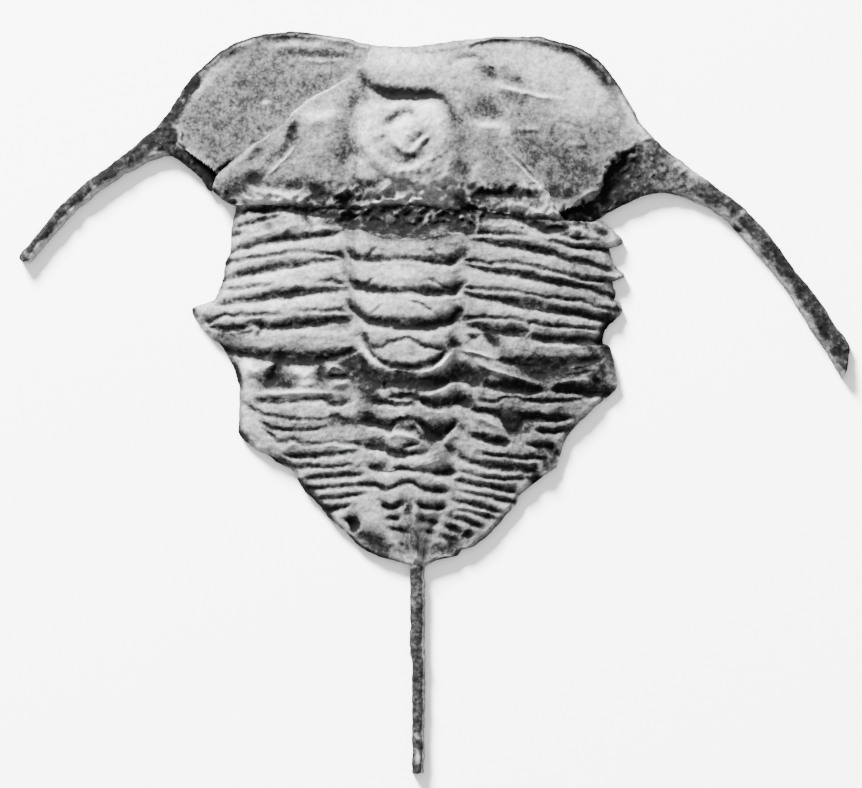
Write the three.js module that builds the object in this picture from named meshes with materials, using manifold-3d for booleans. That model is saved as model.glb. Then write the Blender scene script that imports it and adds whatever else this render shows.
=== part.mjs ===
// A fossil trilobite, freed from its rock and lying on its flat underside.
// Units are millimetres. +Y points to the head, +X to the animal's right, +Z up.
// The origin is on the resting plane, under the axis of the fourth thoracic segment.
// Each plate of the shell is one stone solid: the cranidium, the two free cheeks with their genal spines,
// nine thoracic segments, and the pygidium with its tail spine.
import * as THREE from "three";
import Module from "manifold-3d";

const wasm = await Module();
wasm.setup();

// Driving dimensions
const EDGE_THICKNESS = 1.0; // stone left under the outer margin
const HEAD_RISE = 2.1; // from the margin to the crown of the head, without the glabella
const HEAD_CENTRE = [-0.2, 9.5];
const HEAD_REACH = [17.5, 10.5]; // half width and half length of the head's dome
const GLABELLA_HEIGHT = 1.5;
const GLABELLA_SHOULDER = 0.7; // plan width of the glabella's flanks
const RING_HEIGHT = 1.25; // the thoracic axis above its furrows
const FIELD_HEIGHT = 3.1; // the pleural field beside the axis, at the front of the thorax
const SHINGLE_STEP = 0.42; // drop from the back of one segment to the front of the next
const NECK_HOLLOW = 2.2; // the ring of the first segment is missing, down to this depth
const SPINE_HEIGHT = 1.15;
const TAIL_SPINE_END = -33.9;
const TAIL_RIB_PITCH = 1.25;
const SEAM = 0.32; // gap between neighbouring plates

// Cells across the left side, the axis and the right side of each strip
const HEAD_CELLS = [12, 12, 10];
const SEGMENT_CELLS = [8, 10, 8];
const TAIL_CELLS = [9, 8, 9];
const CHEEK_CELLS = [34, 8]; // along and across
const TAIL_ROWS = 20;
const SPINE_ROWS = 8;

const STONE = { color: 0x8d8b88, roughness: 0.9, metalness: 0 };

// Lines that run along the body, as [y, x]
const LEFT_SUTURE = [
  [6.8, -12.4], [7.2, -13.2], [7.8, -13.8], [8.4, -13.6], [10.5, -11.8], [12.3, -9.1], [13.9, -7.5],
  [15.1, -5.3], [17.0, -2.9], [18.3, -2.6],
];
const RIGHT_SUTURE = [
  [5.8, 11.0], [6.6, 10.5], [7.9, 9.7], [9.6, 8.4], [11.8, 7.1], [13.2, 6.8], [15.7, 6.2], [17.0, 5.4],
  [18.7, 4.2],
];
const GLABELLA_LEFT = [[6.8, -3.9], [9.6, -4.1], [11, -3.9], [13, -3.7], [14.3, -3.3], [15.4, -2.7], [18.2, -1.5]];
const GLABELLA_RIGHT = [[6.5, 3.9], [9, 3.9], [11.4, 3.7], [13, 3.3], [14.3, 2.6], [15.4, 2.9], [18.3, 2.6]];
const BODY_LEFT = [
  [6.8, -12.4], [5.6, -12.6], [3.9, -12.9], [2.7, -13.4], [1.4, -13.9], [0.3, -14.3], [-0.2, -14.9],
  [-0.7, -15.6], [-1.2, -15.4], [-2.1, -14.7], [-3.0, -13.9], [-3.9, -13.1], [-4.7, -12.6], [-5.7, -12.4],
  [-6.4, -12.2], [-7.4, -12.1], [-8.4, -12.2], [-9.4, -12.3], [-10.0, -11.8], [-10.7, -10.8], [-11.3, -9.9],
  [-11.9, -8.9], [-12.6, -8.3], [-13.7, -7.6], [-14.9, -6.4], [-16.1, -5.3], [-17.0, -4.3], [-17.9, -3.2],
  [-18.4, -2.2], [-18.7, -1.2], [-19.05, 0.0],
];
const BODY_RIGHT = [
  [6.0, 13.4], [5.6, 14.1], [5.0, 14.8], [4.4, 15.4], [4.0, 15.1], [3.7, 14.3], [3.2, 14.6], [2.5, 15.1],
  [1.9, 15.6], [1.5, 15.4], [1.2, 14.9], [0.6, 15.1], [-0.3, 15.4], [-1.1, 15.2], [-1.6, 14.6], [-2.1, 14.4],
  [-2.9, 14.6], [-3.6, 14.5], [-4.3, 14.7], [-5.2, 14.9], [-5.9, 15.0], [-6.6, 14.8], [-7.1, 14.2],
  [-7.7, 13.3], [-8.6, 12.4], [-9.2, 11.9], [-10.1, 11.3], [-10.9, 10.9], [-11.5, 10.8], [-12.1, 10.5],
  [-12.7, 9.7], [-13.4, 8.7], [-14.2, 7.9], [-15.5, 6.9], [-16.3, 6.3], [-17.0, 5.5], [-17.7, 4.4],
  [-18.3, 3.4], [-18.6, 2.2], [-18.9, 1.6], [-19.05, 1.1],
];
const AXIS_LEFT = [
  [6.8, -3.9], [4.6, -4.2], [2.1, -4.0], [0, -3.9], [-2.1, -3.6], [-4.3, -3.4], [-6.8, -2.9], [-9.3, -2.3],
  [-12.5, -2.3], [-13.6, -2.1], [-14.6, -1.6], [-16.1, -1.1], [-18.6, 0.2],
];
const AXIS_RIGHT = [
  [6.8, 3.9], [4.6, 3.9], [1.4, 3.9], [-0.4, 3.6], [-1.8, 3.4], [-6.8, 3.4], [-8.6, 3.3], [-11.1, 2.9],
  [-13.6, 2.9], [-14.5, 2.7], [-15.7, 2.2], [-17.9, 1.1], [-18.6, 0.9],
];

// Outlines of the free cheeks from the front of the head to the tip of the genal spine, as [x, y]
const LEFT_CHEEK_OUTER = [
  [-2.7, 18.3], [-5.4, 18.9], [-8.4, 19.3], [-11.1, 18.9], [-13.3, 18.1], [-15.1, 16.4], [-16.4, 14.8],
  [-17.3, 13.4], [-17.7, 12.9], [-18.2, 12.4], [-18.8, 11.9], [-19.6, 11.1], [-21.6, 9.6], [-23.4, 8.3],
  [-24.7, 7.1], [-25.9, 5.7], [-27.1, 4.2], [-28.1, 3.0],
];
const LEFT_CHEEK_INNER = [
  [-2.9, 17.3], [-4.1, 16.4], [-5.9, 15.1], [-7.8, 14.1], [-9.4, 12.5], [-11.2, 11.3], [-12.7, 9.9],
  [-14.1, 8.5], [-15.2, 9.2], [-16.5, 10.1], [-17.5, 10.3], [-19.0, 9.8], [-20.9, 8.8], [-22.7, 7.5],
  [-23.9, 6.5], [-25.1, 5.2], [-26.3, 3.8], [-27.2, 2.5],
];
const RIGHT_CHEEK_OUTER = [
  [4.5, 18.7], [6.5, 18.9], [8.1, 18.9], [9.9, 18.8], [12.4, 18.0], [14.1, 16.6], [15.3, 15.1], [16.2, 13.4],
  [16.9, 12.3], [17.6, 11.6], [18.2, 11.1], [18.8, 10.6], [19.6, 9.9], [20.6, 9.2], [21.9, 8.1], [23.5, 7.0],
  [24.9, 5.8], [26.1, 4.3], [27.6, 2.3], [29.0, 0.6], [30.5, -1.6], [31.5, -3.1], [31.6, -4.6],
];
const RIGHT_CHEEK_INNER = [
  [5.0, 18.0], [5.7, 17.2], [6.3, 16.3], [6.6, 15.2], [7.1, 13.6], [7.4, 12.0], [8.4, 10.3], [9.6, 8.6],
  [10.8, 6.8], [11.3, 5.9], [13.2, 5.9], [14.5, 6.5], [16.1, 7.2], [17.9, 7.7], [19.6, 7.4], [21.3, 6.6],
  [22.9, 5.5], [24.4, 3.9], [25.8, 2.3], [27.3, 0.4], [28.8, -2.0], [30.0, -3.9], [31.1, -5.6],
];

// Lines across the body: the front margin of the cranidium, as [x, y], and the seams between the plates
// of the thorax from the head to the pygidium, by their y at the left and right stations and at the crown
// of the ring on the axis
const CRANIDIUM_FRONT = [[-2.7, 18.3], [-1.2, 18.2], [-0.3, 18.15], [1.1, 18.3], [2.9, 18.5], [4.4, 18.7]];
const LEFT_STATIONS = [-13.5, -10.5, -7.5, -4.2];
const RIGHT_STATIONS = [3.8, 6.5, 9.5, 12.5, 14.8];
const CROWN_X = -0.3;
const ARCH_REACH = 0.75; // share of the axis that the arched back of a ring spans
const SEAMS = [
  { left: [6.8, 6.8, 6.6, 6.4], crown: 6.7, right: [6.4, 6.2, 5.7, 5.6, 5.7] },
  { left: [3.1, 4.1, 4.5, 4.9], crown: 4.2, right: [4.6, 4.1, 3.6, 2.8, 1.9] },
  { left: [1.5, 2.1, 2.6, 2.9], crown: 3.2, right: [2.7, 2.2, 1.6, 0.9, 0.1] },
  { left: [-0.1, 0.1, 0.6, 0.9], crown: 2.1, right: [0.6, -0.1, -0.6, -1.1, -1.6] },
  { left: [-1.9, -1.9, -1.6, -1.3], crown: 0.0, right: [-1.6, -2.1, -2.6, -2.8, -3.0] },
  { left: [-3.1, -3.8, -3.9, -3.6], crown: -2.8, right: [-3.8, -4.4, -4.2, -4.1, -3.9] },
  { left: [-7.1, -7.1, -7.1, -7.1], crown: -6.6, right: [-5.8, -6.1, -6.5, -6.4, -6.5] },
  { left: [-8.9, -9.1, -9.2, -9.1], crown: -8.4, right: [-7.6, -8.0, -8.3, -8.5, -8.6] },
  { left: [-10.0, -10.9, -11.1, -10.8], crown: -10.1, right: [-9.4, -10.1, -10.4, -10.0, -10.0] },
  { left: [-12.1, -12.3, -12.7, -12.4], crown: -12.0, right: [-11.3, -11.9, -12.2, -12.4, -12.5] },
];

// Heights: the pleural field beside the axis, [y, z], and the rise and fall across one segment by the
// share of its length from the back
const FIELD = [[7, 3.1], [0, 3.1], [-6, 2.8], [-12, 2.2], [-17, 1.4], [-19.2, 1.1]];
const RIB = [[0, -0.12], [0.12, 0.03], [0.26, -0.02], [0.38, -0.18], [0.5, 0], [0.7, 0.06], [0.9, -0.06]];
const RIB_ROWS = [0, 0.12, 0.26, 0.38, 0.5, 0.7, 0.9, 1];
const HEAD_ROWS = [0, 0.05, 0.1, 0.15, 0.22, 0.3, 0.38, 0.46, 0.54, 0.62, 0.66, 0.7, 0.74, 0.79, 0.86, 0.93, 1];

const mix = (a, b, t) => a + (b - a) * t;
const clamp01 = (t) => Math.min(1, Math.max(0, t));
const smooth = (t) => clamp01(t) ** 2 * (3 - 2 * clamp01(t));
const bump = (d, width) => Math.exp(-((d / width) ** 2));
const dome = (d) => Math.sqrt(Math.max(0, 1 - d * d));
const steps = (count) => Array.from({ length: count + 1 }, (_, i) => i / count);

// A smooth function through [at, value] pairs, straight on past both ends
function through(pairs) {
  const sorted = [...pairs].sort((a, b) => a[0] - b[0]);
  const slope = (i, j) => (sorted[j][1] - sorted[i][1]) / (sorted[j][0] - sorted[i][0]);
  const last = sorted.length - 1;
  return (at) => {
    if (at <= sorted[0][0]) return sorted[0][1] + slope(0, 1) * (at - sorted[0][0]);
    if (at >= sorted[last][0]) return sorted[last][1] + slope(last - 1, last) * (at - sorted[last][0]);
    const i = sorted.findIndex((p) => p[0] > at) - 1;
    const run = sorted[i + 1][0] - sorted[i][0];
    const t = (at - sorted[i][0]) / run;
    const leave = run * (i > 0 ? slope(i - 1, i + 1) : slope(i, i + 1));
    const arrive = run * (i + 2 <= last ? slope(i, i + 2) : slope(i, i + 1));
    const [a, b] = [sorted[i][1], sorted[i + 1][1]];
    return a + leave * t + (3 * (b - a) - 2 * leave - arrive) * t ** 2
      + (2 * (a - b) + leave + arrive) * t ** 3;
  };
}

const leftSuture = through(LEFT_SUTURE);
const rightSuture = through(RIGHT_SUTURE);
const glabellaLeft = through(GLABELLA_LEFT);
const glabellaRight = through(GLABELLA_RIGHT);
const bodyLeft = through(BODY_LEFT);
const bodyRight = through(BODY_RIGHT);
const axisLeft = through(AXIS_LEFT);
const axisRight = through(AXIS_RIGHT);
const fieldHeight = through(FIELD);
const ribHeight = through([...RIB, [1, -SHINGLE_STEP]]);

// y of a seam at x: smooth over the pleurae, with an arched cap over the axis
function seamLine({ left, crown, right }) {
  const line = through([
    ...LEFT_STATIONS.map((x, i) => [x, left[i]]),
    ...RIGHT_STATIONS.map((x, i) => [x, right[i]]),
  ]);
  const arch = crown - line(CROWN_X);
  const reach = ARCH_REACH * (RIGHT_STATIONS[0] - LEFT_STATIONS.at(-1)) / 2;
  return (x) => line(x) + arch * Math.max(0, 1 - ((x - CROWN_X) / reach) ** 2);
}
const seams = SEAMS.map(seamLine);

// A closed solid from columns of points that make its upper face. Walls go down from the rim, and the
// body is cut off flat at the resting plane.
function solid(columns) {
  const rows = columns[0].length;
  const top = columns.flat();
  const at = (i, j) => i * rows + j;
  const lastColumn = columns.length - 1;
  const rim = [
    ...columns.map((_, i) => at(i, 0)),
    ...columns[0].slice(1).map((_, j) => at(lastColumn, j + 1)),
    ...columns.slice(1).map((_, i) => at(lastColumn - 1 - i, rows - 1)),
    ...columns[0].slice(2).map((_, j) => at(0, rows - 2 - j)),
  ];
  const base = rim.map((i) => new THREE.Vector3(top[i].x, top[i].y, -1));
  const faces = [];
  for (let i = 0; i < lastColumn; i++) {
    for (let j = 0; j + 1 < rows; j++) {
      faces.push([at(i, j), at(i + 1, j), at(i + 1, j + 1)], [at(i, j), at(i + 1, j + 1), at(i, j + 1)]);
    }
  }
  rim.forEach((a, i) => {
    const next = (i + 1) % rim.length;
    const [low, lowNext] = [top.length + i, top.length + next];
    faces.push([a, low, lowNext], [a, lowNext, rim[next]]);
  });
  const plan = base.map((p) => new THREE.Vector2(p.x, p.y));
  for (const [a, b, c] of THREE.ShapeUtils.triangulateShape(plan, [])) {
    const turn = plan[b].clone().sub(plan[a]).cross(plan[c].clone().sub(plan[a]));
    faces.push((turn > 0 ? [a, c, b] : [a, b, c]).map((i) => top.length + i));
  }
  const body = new wasm.Manifold(new wasm.Mesh({
    numProp: 3,
    vertProperties: new Float32Array([...top, ...base].flatMap((p) => p.toArray())),
    triVerts: new Uint32Array(faces.flat()),
  }));
  return body.trimByPlane([0, 0, 1], 0);
}

// A strip of shell across the body, from the line back(x) to the line front(x). edges are lines along the
// body that its columns follow, x as functions of y, and cells is the number of columns between them.
function strip({ edges, cells, back, front, rows, height }) {
  const lineY = (x, v) => mix(back(x), front(x), v);
  const meet = (edge, v) => {
    let x = edge(lineY(0, v));
    for (let i = 0; i < 20; i++) x = mix(x, edge(lineY(x, v)), 0.5);
    return x;
  };
  const crossings = rows.map((v) => edges.map((edge) => meet(edge, v)));
  const rounded = (t) => (1 - Math.cos(Math.PI * t)) / 2;
  const places = cells.flatMap((count, part) =>
    steps(count).slice(part === 0 ? 0 : 1).map((t) => [part, part === 1 ? rounded(t) : t]),
  );
  return solid(places.map(([part, t]) => rows.map((v, j) => {
    const x = mix(crossings[j][part], crossings[j][part + 1], t);
    const y = lineY(x, v);
    return new THREE.Vector3(x, y, height(x, y, v));
  })));
}

// Head

function headHeight(x, y) {
  const q = Math.hypot((x - HEAD_CENTRE[0]) / HEAD_REACH[0], (y - HEAD_CENTRE[1]) / HEAD_REACH[1]);
  return EDGE_THICKNESS + 0.1 + HEAD_RISE * (1 - Math.min(1, q) ** 2);
}

const GLABELLA_FRONT = 14.4;
const GLABELLA_DIP = [-0.1, 11.5];
function glabellaHeight(x, y) {
  const flanks = smooth((x - glabellaLeft(y)) / GLABELLA_SHOULDER)
    * smooth((glabellaRight(y) - x) / GLABELLA_SHOULDER);
  const along = smooth((GLABELLA_FRONT - y) / GLABELLA_SHOULDER);
  const crown = 1 - 0.25 * ((x - GLABELLA_DIP[0]) / 3.8) ** 2 - 0.35 * smooth((9 - y) / 2.2);
  const crater = 0.35 * bump(Math.hypot(x - GLABELLA_DIP[0], y - GLABELLA_DIP[1]) - 0.4, 1.1);
  return flanks * along * (GLABELLA_HEIGHT * crown - crater);
}

function cranidiumHeight(x, y) {
  const furrowInFront = 0.55 * bump(y - 14.9, 0.45) * smooth((3.4 - Math.abs(x + 0.1)) / 0.9);
  const boss = 0.45 * bump(x + 0.4, 2.6) * bump(y - 16.6, 1.0);
  const besideGlabella = bump(x - glabellaLeft(y) + 0.4, 0.5) + bump(x - glabellaRight(y) - 0.4, 0.5);
  const sideFurrow = 0.3 * besideGlabella * smooth((14.5 - y) / 1.5);
  const leftEyeLobe = 0.4 * bump(x + 6.6, 1.2) * bump(y - 12.9, 0.9);
  const rightEyeLobe = 0.4 * bump(x - 5.9, 1.2) * bump(y - 12.3, 0.8);
  const borderFurrow = 0.4 * bump(y - 8.2 + 0.05 * x, 0.4) * smooth((Math.abs(x) - 3.9) / 1);
  return headHeight(x, y) + glabellaHeight(x, y) + boss + leftEyeLobe + rightEyeLobe
    - furrowInFront - sideFurrow - borderFurrow;
}

function makeCranidium() {
  return strip({
    edges: [(y) => leftSuture(y) + SEAM / 2, glabellaLeft, glabellaRight, (y) => rightSuture(y) - SEAM / 2],
    cells: HEAD_CELLS,
    back: (x) => seams[0](x) + SEAM / 2,
    front: through(CRANIDIUM_FRONT),
    rows: HEAD_ROWS,
    height: cranidiumHeight,
  });
}

// A free cheek runs from the front of the head to the tip of its genal spine. rootAt and spineAt are the
// shares of its length where the spine's broad root begins and where the slim spine begins.
function makeCheek({ outer, inner, side, rootAt, spineAt }) {
  const curve = (points) => new THREE.SplineCurve(points.map(([x, y]) => new THREE.Vector2(x, y)));
  const [outerCurve, innerCurve] = [curve(outer), curve(inner)];
  const alongs = side < 0 ? steps(CHEEK_CELLS[0]).reverse() : steps(CHEEK_CELLS[0]);
  return solid(alongs.map((along) => steps(CHEEK_CELLS[1]).map((v) => {
    const { x, y } = innerCurve.getPoint(along).lerp(outerCurve.getPoint(along), v);
    const rim = 0.25 * bump(v - 0.93, 0.06) - 0.2 * bump(v - 0.82, 0.06);
    const cheek = headHeight(x, y) + rim * smooth((rootAt - along) / 0.1);
    const root = 0.9 + 0.35 * dome(2 * v - 1);
    const spine = SPINE_HEIGHT * (0.45 + 0.55 * dome(2 * v - 1));
    const beyondCheek = mix(root, spine, smooth((along - spineAt) / 0.06));
    return new THREE.Vector3(x, y, mix(cheek, beyondCheek, smooth((along - rootAt) / 0.05)));
  })));
}

// Thorax and tail

// Height of the back before its segments are cut into it, and the place across the axis: 0 on its crown,
// 1 in the furrows beside it
function backSurface(x, y) {
  const centre = (axisLeft(y) + axisRight(y)) / 2;
  const half = Math.max(0.35, (axisRight(y) - axisLeft(y)) / 2);
  const margin = x < centre ? bodyLeft(Math.min(y, 6)) : bodyRight(Math.min(y, 6));
  const reach = Math.max(1, Math.abs(margin - centre) - half);
  const across = Math.abs(x - centre) / half;
  const outward = clamp01((Math.abs(x - centre) - half) / reach);
  const field = mix(fieldHeight(y), EDGE_THICKNESS, outward ** 2.2);
  const ring = RING_HEIGHT * (fieldHeight(y) / FIELD_HEIGHT) * dome(across);
  const furrow = 0.3 * bump(Math.abs(x - centre) - half, 0.45);
  return { z: field + ring - furrow, across };
}

// Stone lost between the fifth and sixth segments: [x, y, reach along x, reach along y, depth]
const LOST = [[-8.4, -5.2, 3.6, 0.9, 0.6], [10.4, -4.9, 3.2, 0.6, 0.7]];

function segmentHeight(number) {
  return (x, y, v) => {
    const { z, across } = backSurface(x, y);
    const onAxis = smooth(2 * (1 - Math.min(1, across) ** 2));
    const furrowAt = 1 - 0.68 * (1 - Math.min(1, across) ** 2); // behind the half-ring
    const ringFurrow = 0.45 * onAxis * bump(v - furrowAt, 0.16);
    const hollow = number === 1 ? NECK_HOLLOW * smooth((1.15 - across) / 0.2) : 0;
    const lost = number === 6
      ? LOST.reduce((sum, [cx, cy, rx, ry, depth]) => sum + depth * bump(x - cx, rx) * bump(y - cy, ry), 0)
      : 0;
    return Math.max(0.7, z + ribHeight(v) * (1 - 0.75 * onAxis) - ringFurrow - hollow - lost);
  };
}

function makeSegment(number) {
  const [ahead, behind] = [seams[number - 1], seams[number]];
  return strip({
    edges: [bodyLeft, axisLeft, axisRight, bodyRight],
    cells: SEGMENT_CELLS,
    back: (x) => behind(x) + SEAM / 2,
    front: (x) => ahead(x) - SEAM / 2,
    rows: RIB_ROWS,
    height: segmentHeight(number),
  });
}

const SPINE_MIDDLE = 0.62;
const spineLeft = through([[-33.9, 0.2], [-28.5, 0.28], [-25.8, 0.1], [-22, 0.04], [-18, 0.07]]);
const spineRight = through([[-33.9, 1.05], [-28.5, 1.2], [-25.3, 1.12], [-22, 1.16], [-18, 1.12]]);

function tailHeight(x, y) {
  const { z, across } = backSurface(x, y);
  const behindSeam = seams.at(-1)(x) - SEAM / 2 - y;
  const inside = smooth(Math.min(x - bodyLeft(y), bodyRight(y) - x) / 2.5);
  const rib = -0.2 * Math.cos((2 * Math.PI * behindSeam) / TAIL_RIB_PITCH) * inside;
  const keel = 0.4 * bump(x - 0.5, 0.45) * smooth((-14.5 - y) / 1.5);
  const shoulder = SHINGLE_STEP * (1 - smooth(behindSeam / 0.35)) * smooth(across - 0.6);
  return Math.max(0.8, z + rib + keel - shoulder);
}

function makePygidium() {
  const plate = strip({
    edges: [bodyLeft, axisLeft, axisRight, bodyRight],
    cells: TAIL_CELLS,
    back: (x) => -18.9 - 0.06 * Math.cos(x - SPINE_MIDDLE),
    front: (x) => seams.at(-1)(x) - SEAM / 2,
    rows: steps(TAIL_ROWS),
    height: tailHeight,
  });
  const spine = strip({
    edges: [spineLeft, () => 0.5, () => 0.8, spineRight],
    cells: [2, 1, 2],
    back: (x) => TAIL_SPINE_END + 0.2 * (x - SPINE_MIDDLE) ** 2,
    front: (x) => -18.0 + 0.2 * (x - SPINE_MIDDLE) ** 2,
    rows: steps(SPINE_ROWS),
    height: (x) => SPINE_HEIGHT * (0.5 + 0.5 * dome((x - SPINE_MIDDLE) / 0.62)),
  });
  return plate.add(spine);
}

const trilobite = new THREE.Group();
function addPlate(name, body) {
  const { vertProperties, triVerts } = body.getMesh();
  const geometry = new THREE.BufferGeometry()
    .setAttribute("position", new THREE.BufferAttribute(new Float32Array(vertProperties), 3))
    .setIndex(new THREE.BufferAttribute(new Uint32Array(triVerts), 1));
  geometry.computeVertexNormals();
  const mesh = new THREE.Mesh(geometry, new THREE.MeshStandardMaterial(STONE));
  mesh.name = name;
  trilobite.add(mesh);
}

addPlate("cranidium", makeCranidium());
addPlate("left_free_cheek", makeCheek({
  outer: LEFT_CHEEK_OUTER, inner: LEFT_CHEEK_INNER, side: -1, rootAt: 0.42, spineAt: 0.6,
}));
addPlate("right_free_cheek", makeCheek({
  outer: RIGHT_CHEEK_OUTER, inner: RIGHT_CHEEK_INNER, side: 1, rootAt: 0.4, spineAt: 0.6,
}));
for (let number = 1; number < SEAMS.length; number++) {
  addPlate(`thoracic_segment_${number}`, makeSegment(number));
}
addPlate("pygidium", makePygidium());

export default trilobite;
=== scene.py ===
"""The dressed fossil trilobite: each plate of the shell in full relief, in dusted grey stone with painted
shade and highlights in its colour.

Plan lines, heights and marks are in millimetres, in the part's own frame; meshes are in metres.
"""

import math

import bpy
import numpy as np
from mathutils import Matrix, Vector


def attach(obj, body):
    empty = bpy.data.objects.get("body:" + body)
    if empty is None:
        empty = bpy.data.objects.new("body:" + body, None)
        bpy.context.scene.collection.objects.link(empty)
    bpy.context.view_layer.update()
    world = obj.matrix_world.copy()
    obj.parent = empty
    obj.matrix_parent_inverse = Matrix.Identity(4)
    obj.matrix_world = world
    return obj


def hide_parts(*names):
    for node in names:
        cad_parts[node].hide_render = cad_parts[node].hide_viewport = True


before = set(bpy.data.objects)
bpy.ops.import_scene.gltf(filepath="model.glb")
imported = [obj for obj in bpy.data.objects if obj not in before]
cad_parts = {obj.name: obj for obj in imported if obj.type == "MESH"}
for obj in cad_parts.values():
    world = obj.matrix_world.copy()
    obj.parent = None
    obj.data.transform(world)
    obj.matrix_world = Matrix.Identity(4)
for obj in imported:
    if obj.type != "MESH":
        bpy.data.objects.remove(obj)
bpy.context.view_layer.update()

MM = 0.001
RNG_SEED = 7

# The picture's scale, and where the part's origin lies in it. Marks on the stone are given in picture dots.
DOTS_PER_MM = 14.0
ORIGIN_DOT = (409.0, 300.0)
PICTURE = (862, 788)

# Driving dimensions, as in the solids
EDGE_THICKNESS = 1.0
HEAD_RISE = 2.1
HEAD_CENTRE = (-0.2, 9.5)
HEAD_REACH = (17.5, 10.5)
GLABELLA_HEIGHT = 1.42
GLABELLA_FRONT = 14.4
GLABELLA_CENTRE = (-0.1, 11.5)
BOSS = (-0.2, 12.0)  # the crumpled top of the glabella
RING_HEIGHT = 1.25
RING_SPREAD = 1.35  # how far the swell of the rings reaches, in half widths of the axis
FIELD_HEIGHT = 3.1
NECK_HOLLOW = 1.75
SPINE_HEIGHT = 1.15
TAIL_SPINE_END = -33.9
HAIRLINE = 0.004  # the closed seam between two plates
TAPER = 0.35  # share of a mark's length over which it fades in and out
FURROW_DEPTH = 0.72  # share of a furrow's width
DEEPEST = 0.5
NARROWEST = 0.3
TAIL_OF_SLOPE = 3.2  # how far the ground in front of a furrow leans towards it, in furrow widths
WIDE_FURROW = 0.6
GRAIN_TURN = (0.8, 0.6)  # cosine and sine of the angle of the relief's cells to the body
HEAD_PLATES = ("cranidium", "left_free_cheek", "right_free_cheek")
NECK_MIDDLE = -0.1
NECK_HALF_WIDTH = 5.0
SUTURE_POINTS = {-1: 8, 1: 10}  # points of the left and right cheek's inner outline on its suture
UNEVEN = (0.05, 0.035)  # plan shift of broken edges, broad and fine
LENS = 180.0
SENSOR = 36.0
FRAME_WIDTH = PICTURE[0] / DOTS_PER_MM
FOCUS_HEIGHT = 2.0
THINNEST_SEGMENT = 0.6
THINNEST_TAIL = 0.75
THINNEST_CHEEK = 0.25
WALL_START = 0.1  # how far the walls are drawn down before they are laid flat on the underside
HOLLOW_DEPTH = 0.2  # depth below the surroundings that counts as fully hollow
SMOOTH_ANGLE = 50  # degrees up to which neighbouring faces are shaded as one surface
TABLE_SIZE = 1.2  # in metres
TABLE_DROP = 0.02

# Grid cells across the left side, the axis and the right side of a strip, and along it
HEAD_COLUMNS = (110, 90, 80)
HEAD_ROWS = 128
SEGMENT_COLUMNS = (92, 76, 104)
SEGMENT_ROWS = 44
TAIL_COLUMNS = (56, 50, 56)
TAIL_ROWS = 220
CHEEK_CELLS = (330, 84)

# Lines along the body, as (y, x)
LEFT_SUTURE = [
    (6.75, -12.4), (7.0, -13.0), (7.4, -13.6), (7.9, -14.0), (8.7, -13.8), (10.5, -11.9), (12.35, -9.2),
    (14.05, -7.55), (15.2, -5.45), (16.4, -3.75), (17.15, -3.0), (18.3, -2.8),
]
RIGHT_SUTURE = [
    (5.9, 11.0), (6.95, 10.3), (7.85, 9.9), (9.65, 8.65), (11.8, 7.3), (13.2, 7.0), (14.65, 6.35),
    (15.7, 6.3), (16.7, 5.6), (17.45, 4.6), (18.6, 4.0),
]
GLABELLA_LEFT = [(6.8, -3.9), (9.6, -4.1), (11, -3.95), (13, -3.7), (14.3, -3.2), (15.4, -2.7), (18.2, -1.7)]
GLABELLA_RIGHT = [(6.5, 3.9), (9, 3.8), (11.4, 3.6), (13, 3.2), (14.3, 2.5), (15.4, 2.8), (18.3, 2.6)]
BODY_LEFT = [
    (6.75, -12.4), (5.6, -12.65), (3.45, -12.85), (2.7, -13.15), (1.65, -13.35), (0.85, -13.65),
    (0.1, -13.95), (-0.2, -14.6), (-0.6, -15.6), (-0.9, -15.6), (-1.3, -15.4), (-1.95, -14.85),
    (-2.7, -14.2), (-3.3, -13.4), (-3.7, -13.2), (-4.6, -12.7), (-5.5, -12.4), (-6.4, -12.15),
    (-7.2, -12.15), (-8.3, -12.2), (-9.3, -12.25), (-10.0, -11.85), (-10.65, -11.05), (-11.15, -10.1),
    (-11.6, -9.5), (-11.95, -8.9), (-12.1, -8.5), (-12.85, -8.0), (-13.7, -7.45), (-14.85, -6.35),
    (-16.1, -5.3), (-17.0, -4.2), (-17.9, -3.15), (-18.35, -2.1), (-18.7, -1.0), (-18.85, -0.4),
    (-18.95, 0.0), (-19.1, 0.07), (-22.0, 0.05), (-25.1, 0.07), (-26.1, 0.25), (-28.5, 0.2), (-31.0, 0.2),
    (-33.9, 0.2),
]
BODY_RIGHT = [
    (6.1, 13.2), (5.9, 13.55), (5.15, 14.5), (4.2, 15.4), (3.95, 15.1), (3.7, 14.4), (3.3, 14.5),
    (2.8, 14.65), (2.3, 15.0), (1.75, 15.5), (1.6, 15.3), (1.35, 14.6), (0.9, 14.7), (0.55, 14.85),
    (0.0, 14.75), (-0.2, 15.1), (-0.7, 15.35), (-1.1, 15.1), (-1.5, 14.6), (-2.1, 14.1), (-3.0, 13.9),
    (-3.3, 14.35), (-4.0, 14.55), (-5.0, 14.8), (-5.85, 14.95), (-6.4, 14.8), (-7.0, 14.15),
    (-7.65, 13.3), (-8.6, 12.35), (-9.4, 11.65), (-10.2, 11.15), (-11.1, 10.85), (-12.05, 10.5),
    (-12.55, 9.7), (-13.3, 8.65), (-14.0, 8.0), (-14.5, 7.7), (-15.55, 6.85), (-16.2, 6.3), (-16.9, 5.6),
    (-17.35, 5.05), (-17.7, 4.5), (-17.85, 3.8), (-18.3, 3.4), (-18.55, 2.2), (-18.9, 1.4), (-19.1, 1.14),
    (-22.0, 1.15), (-25.4, 1.15), (-26.0, 1.2), (-28.4, 1.2), (-31.0, 1.1), (-33.9, 1.07),
]
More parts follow.
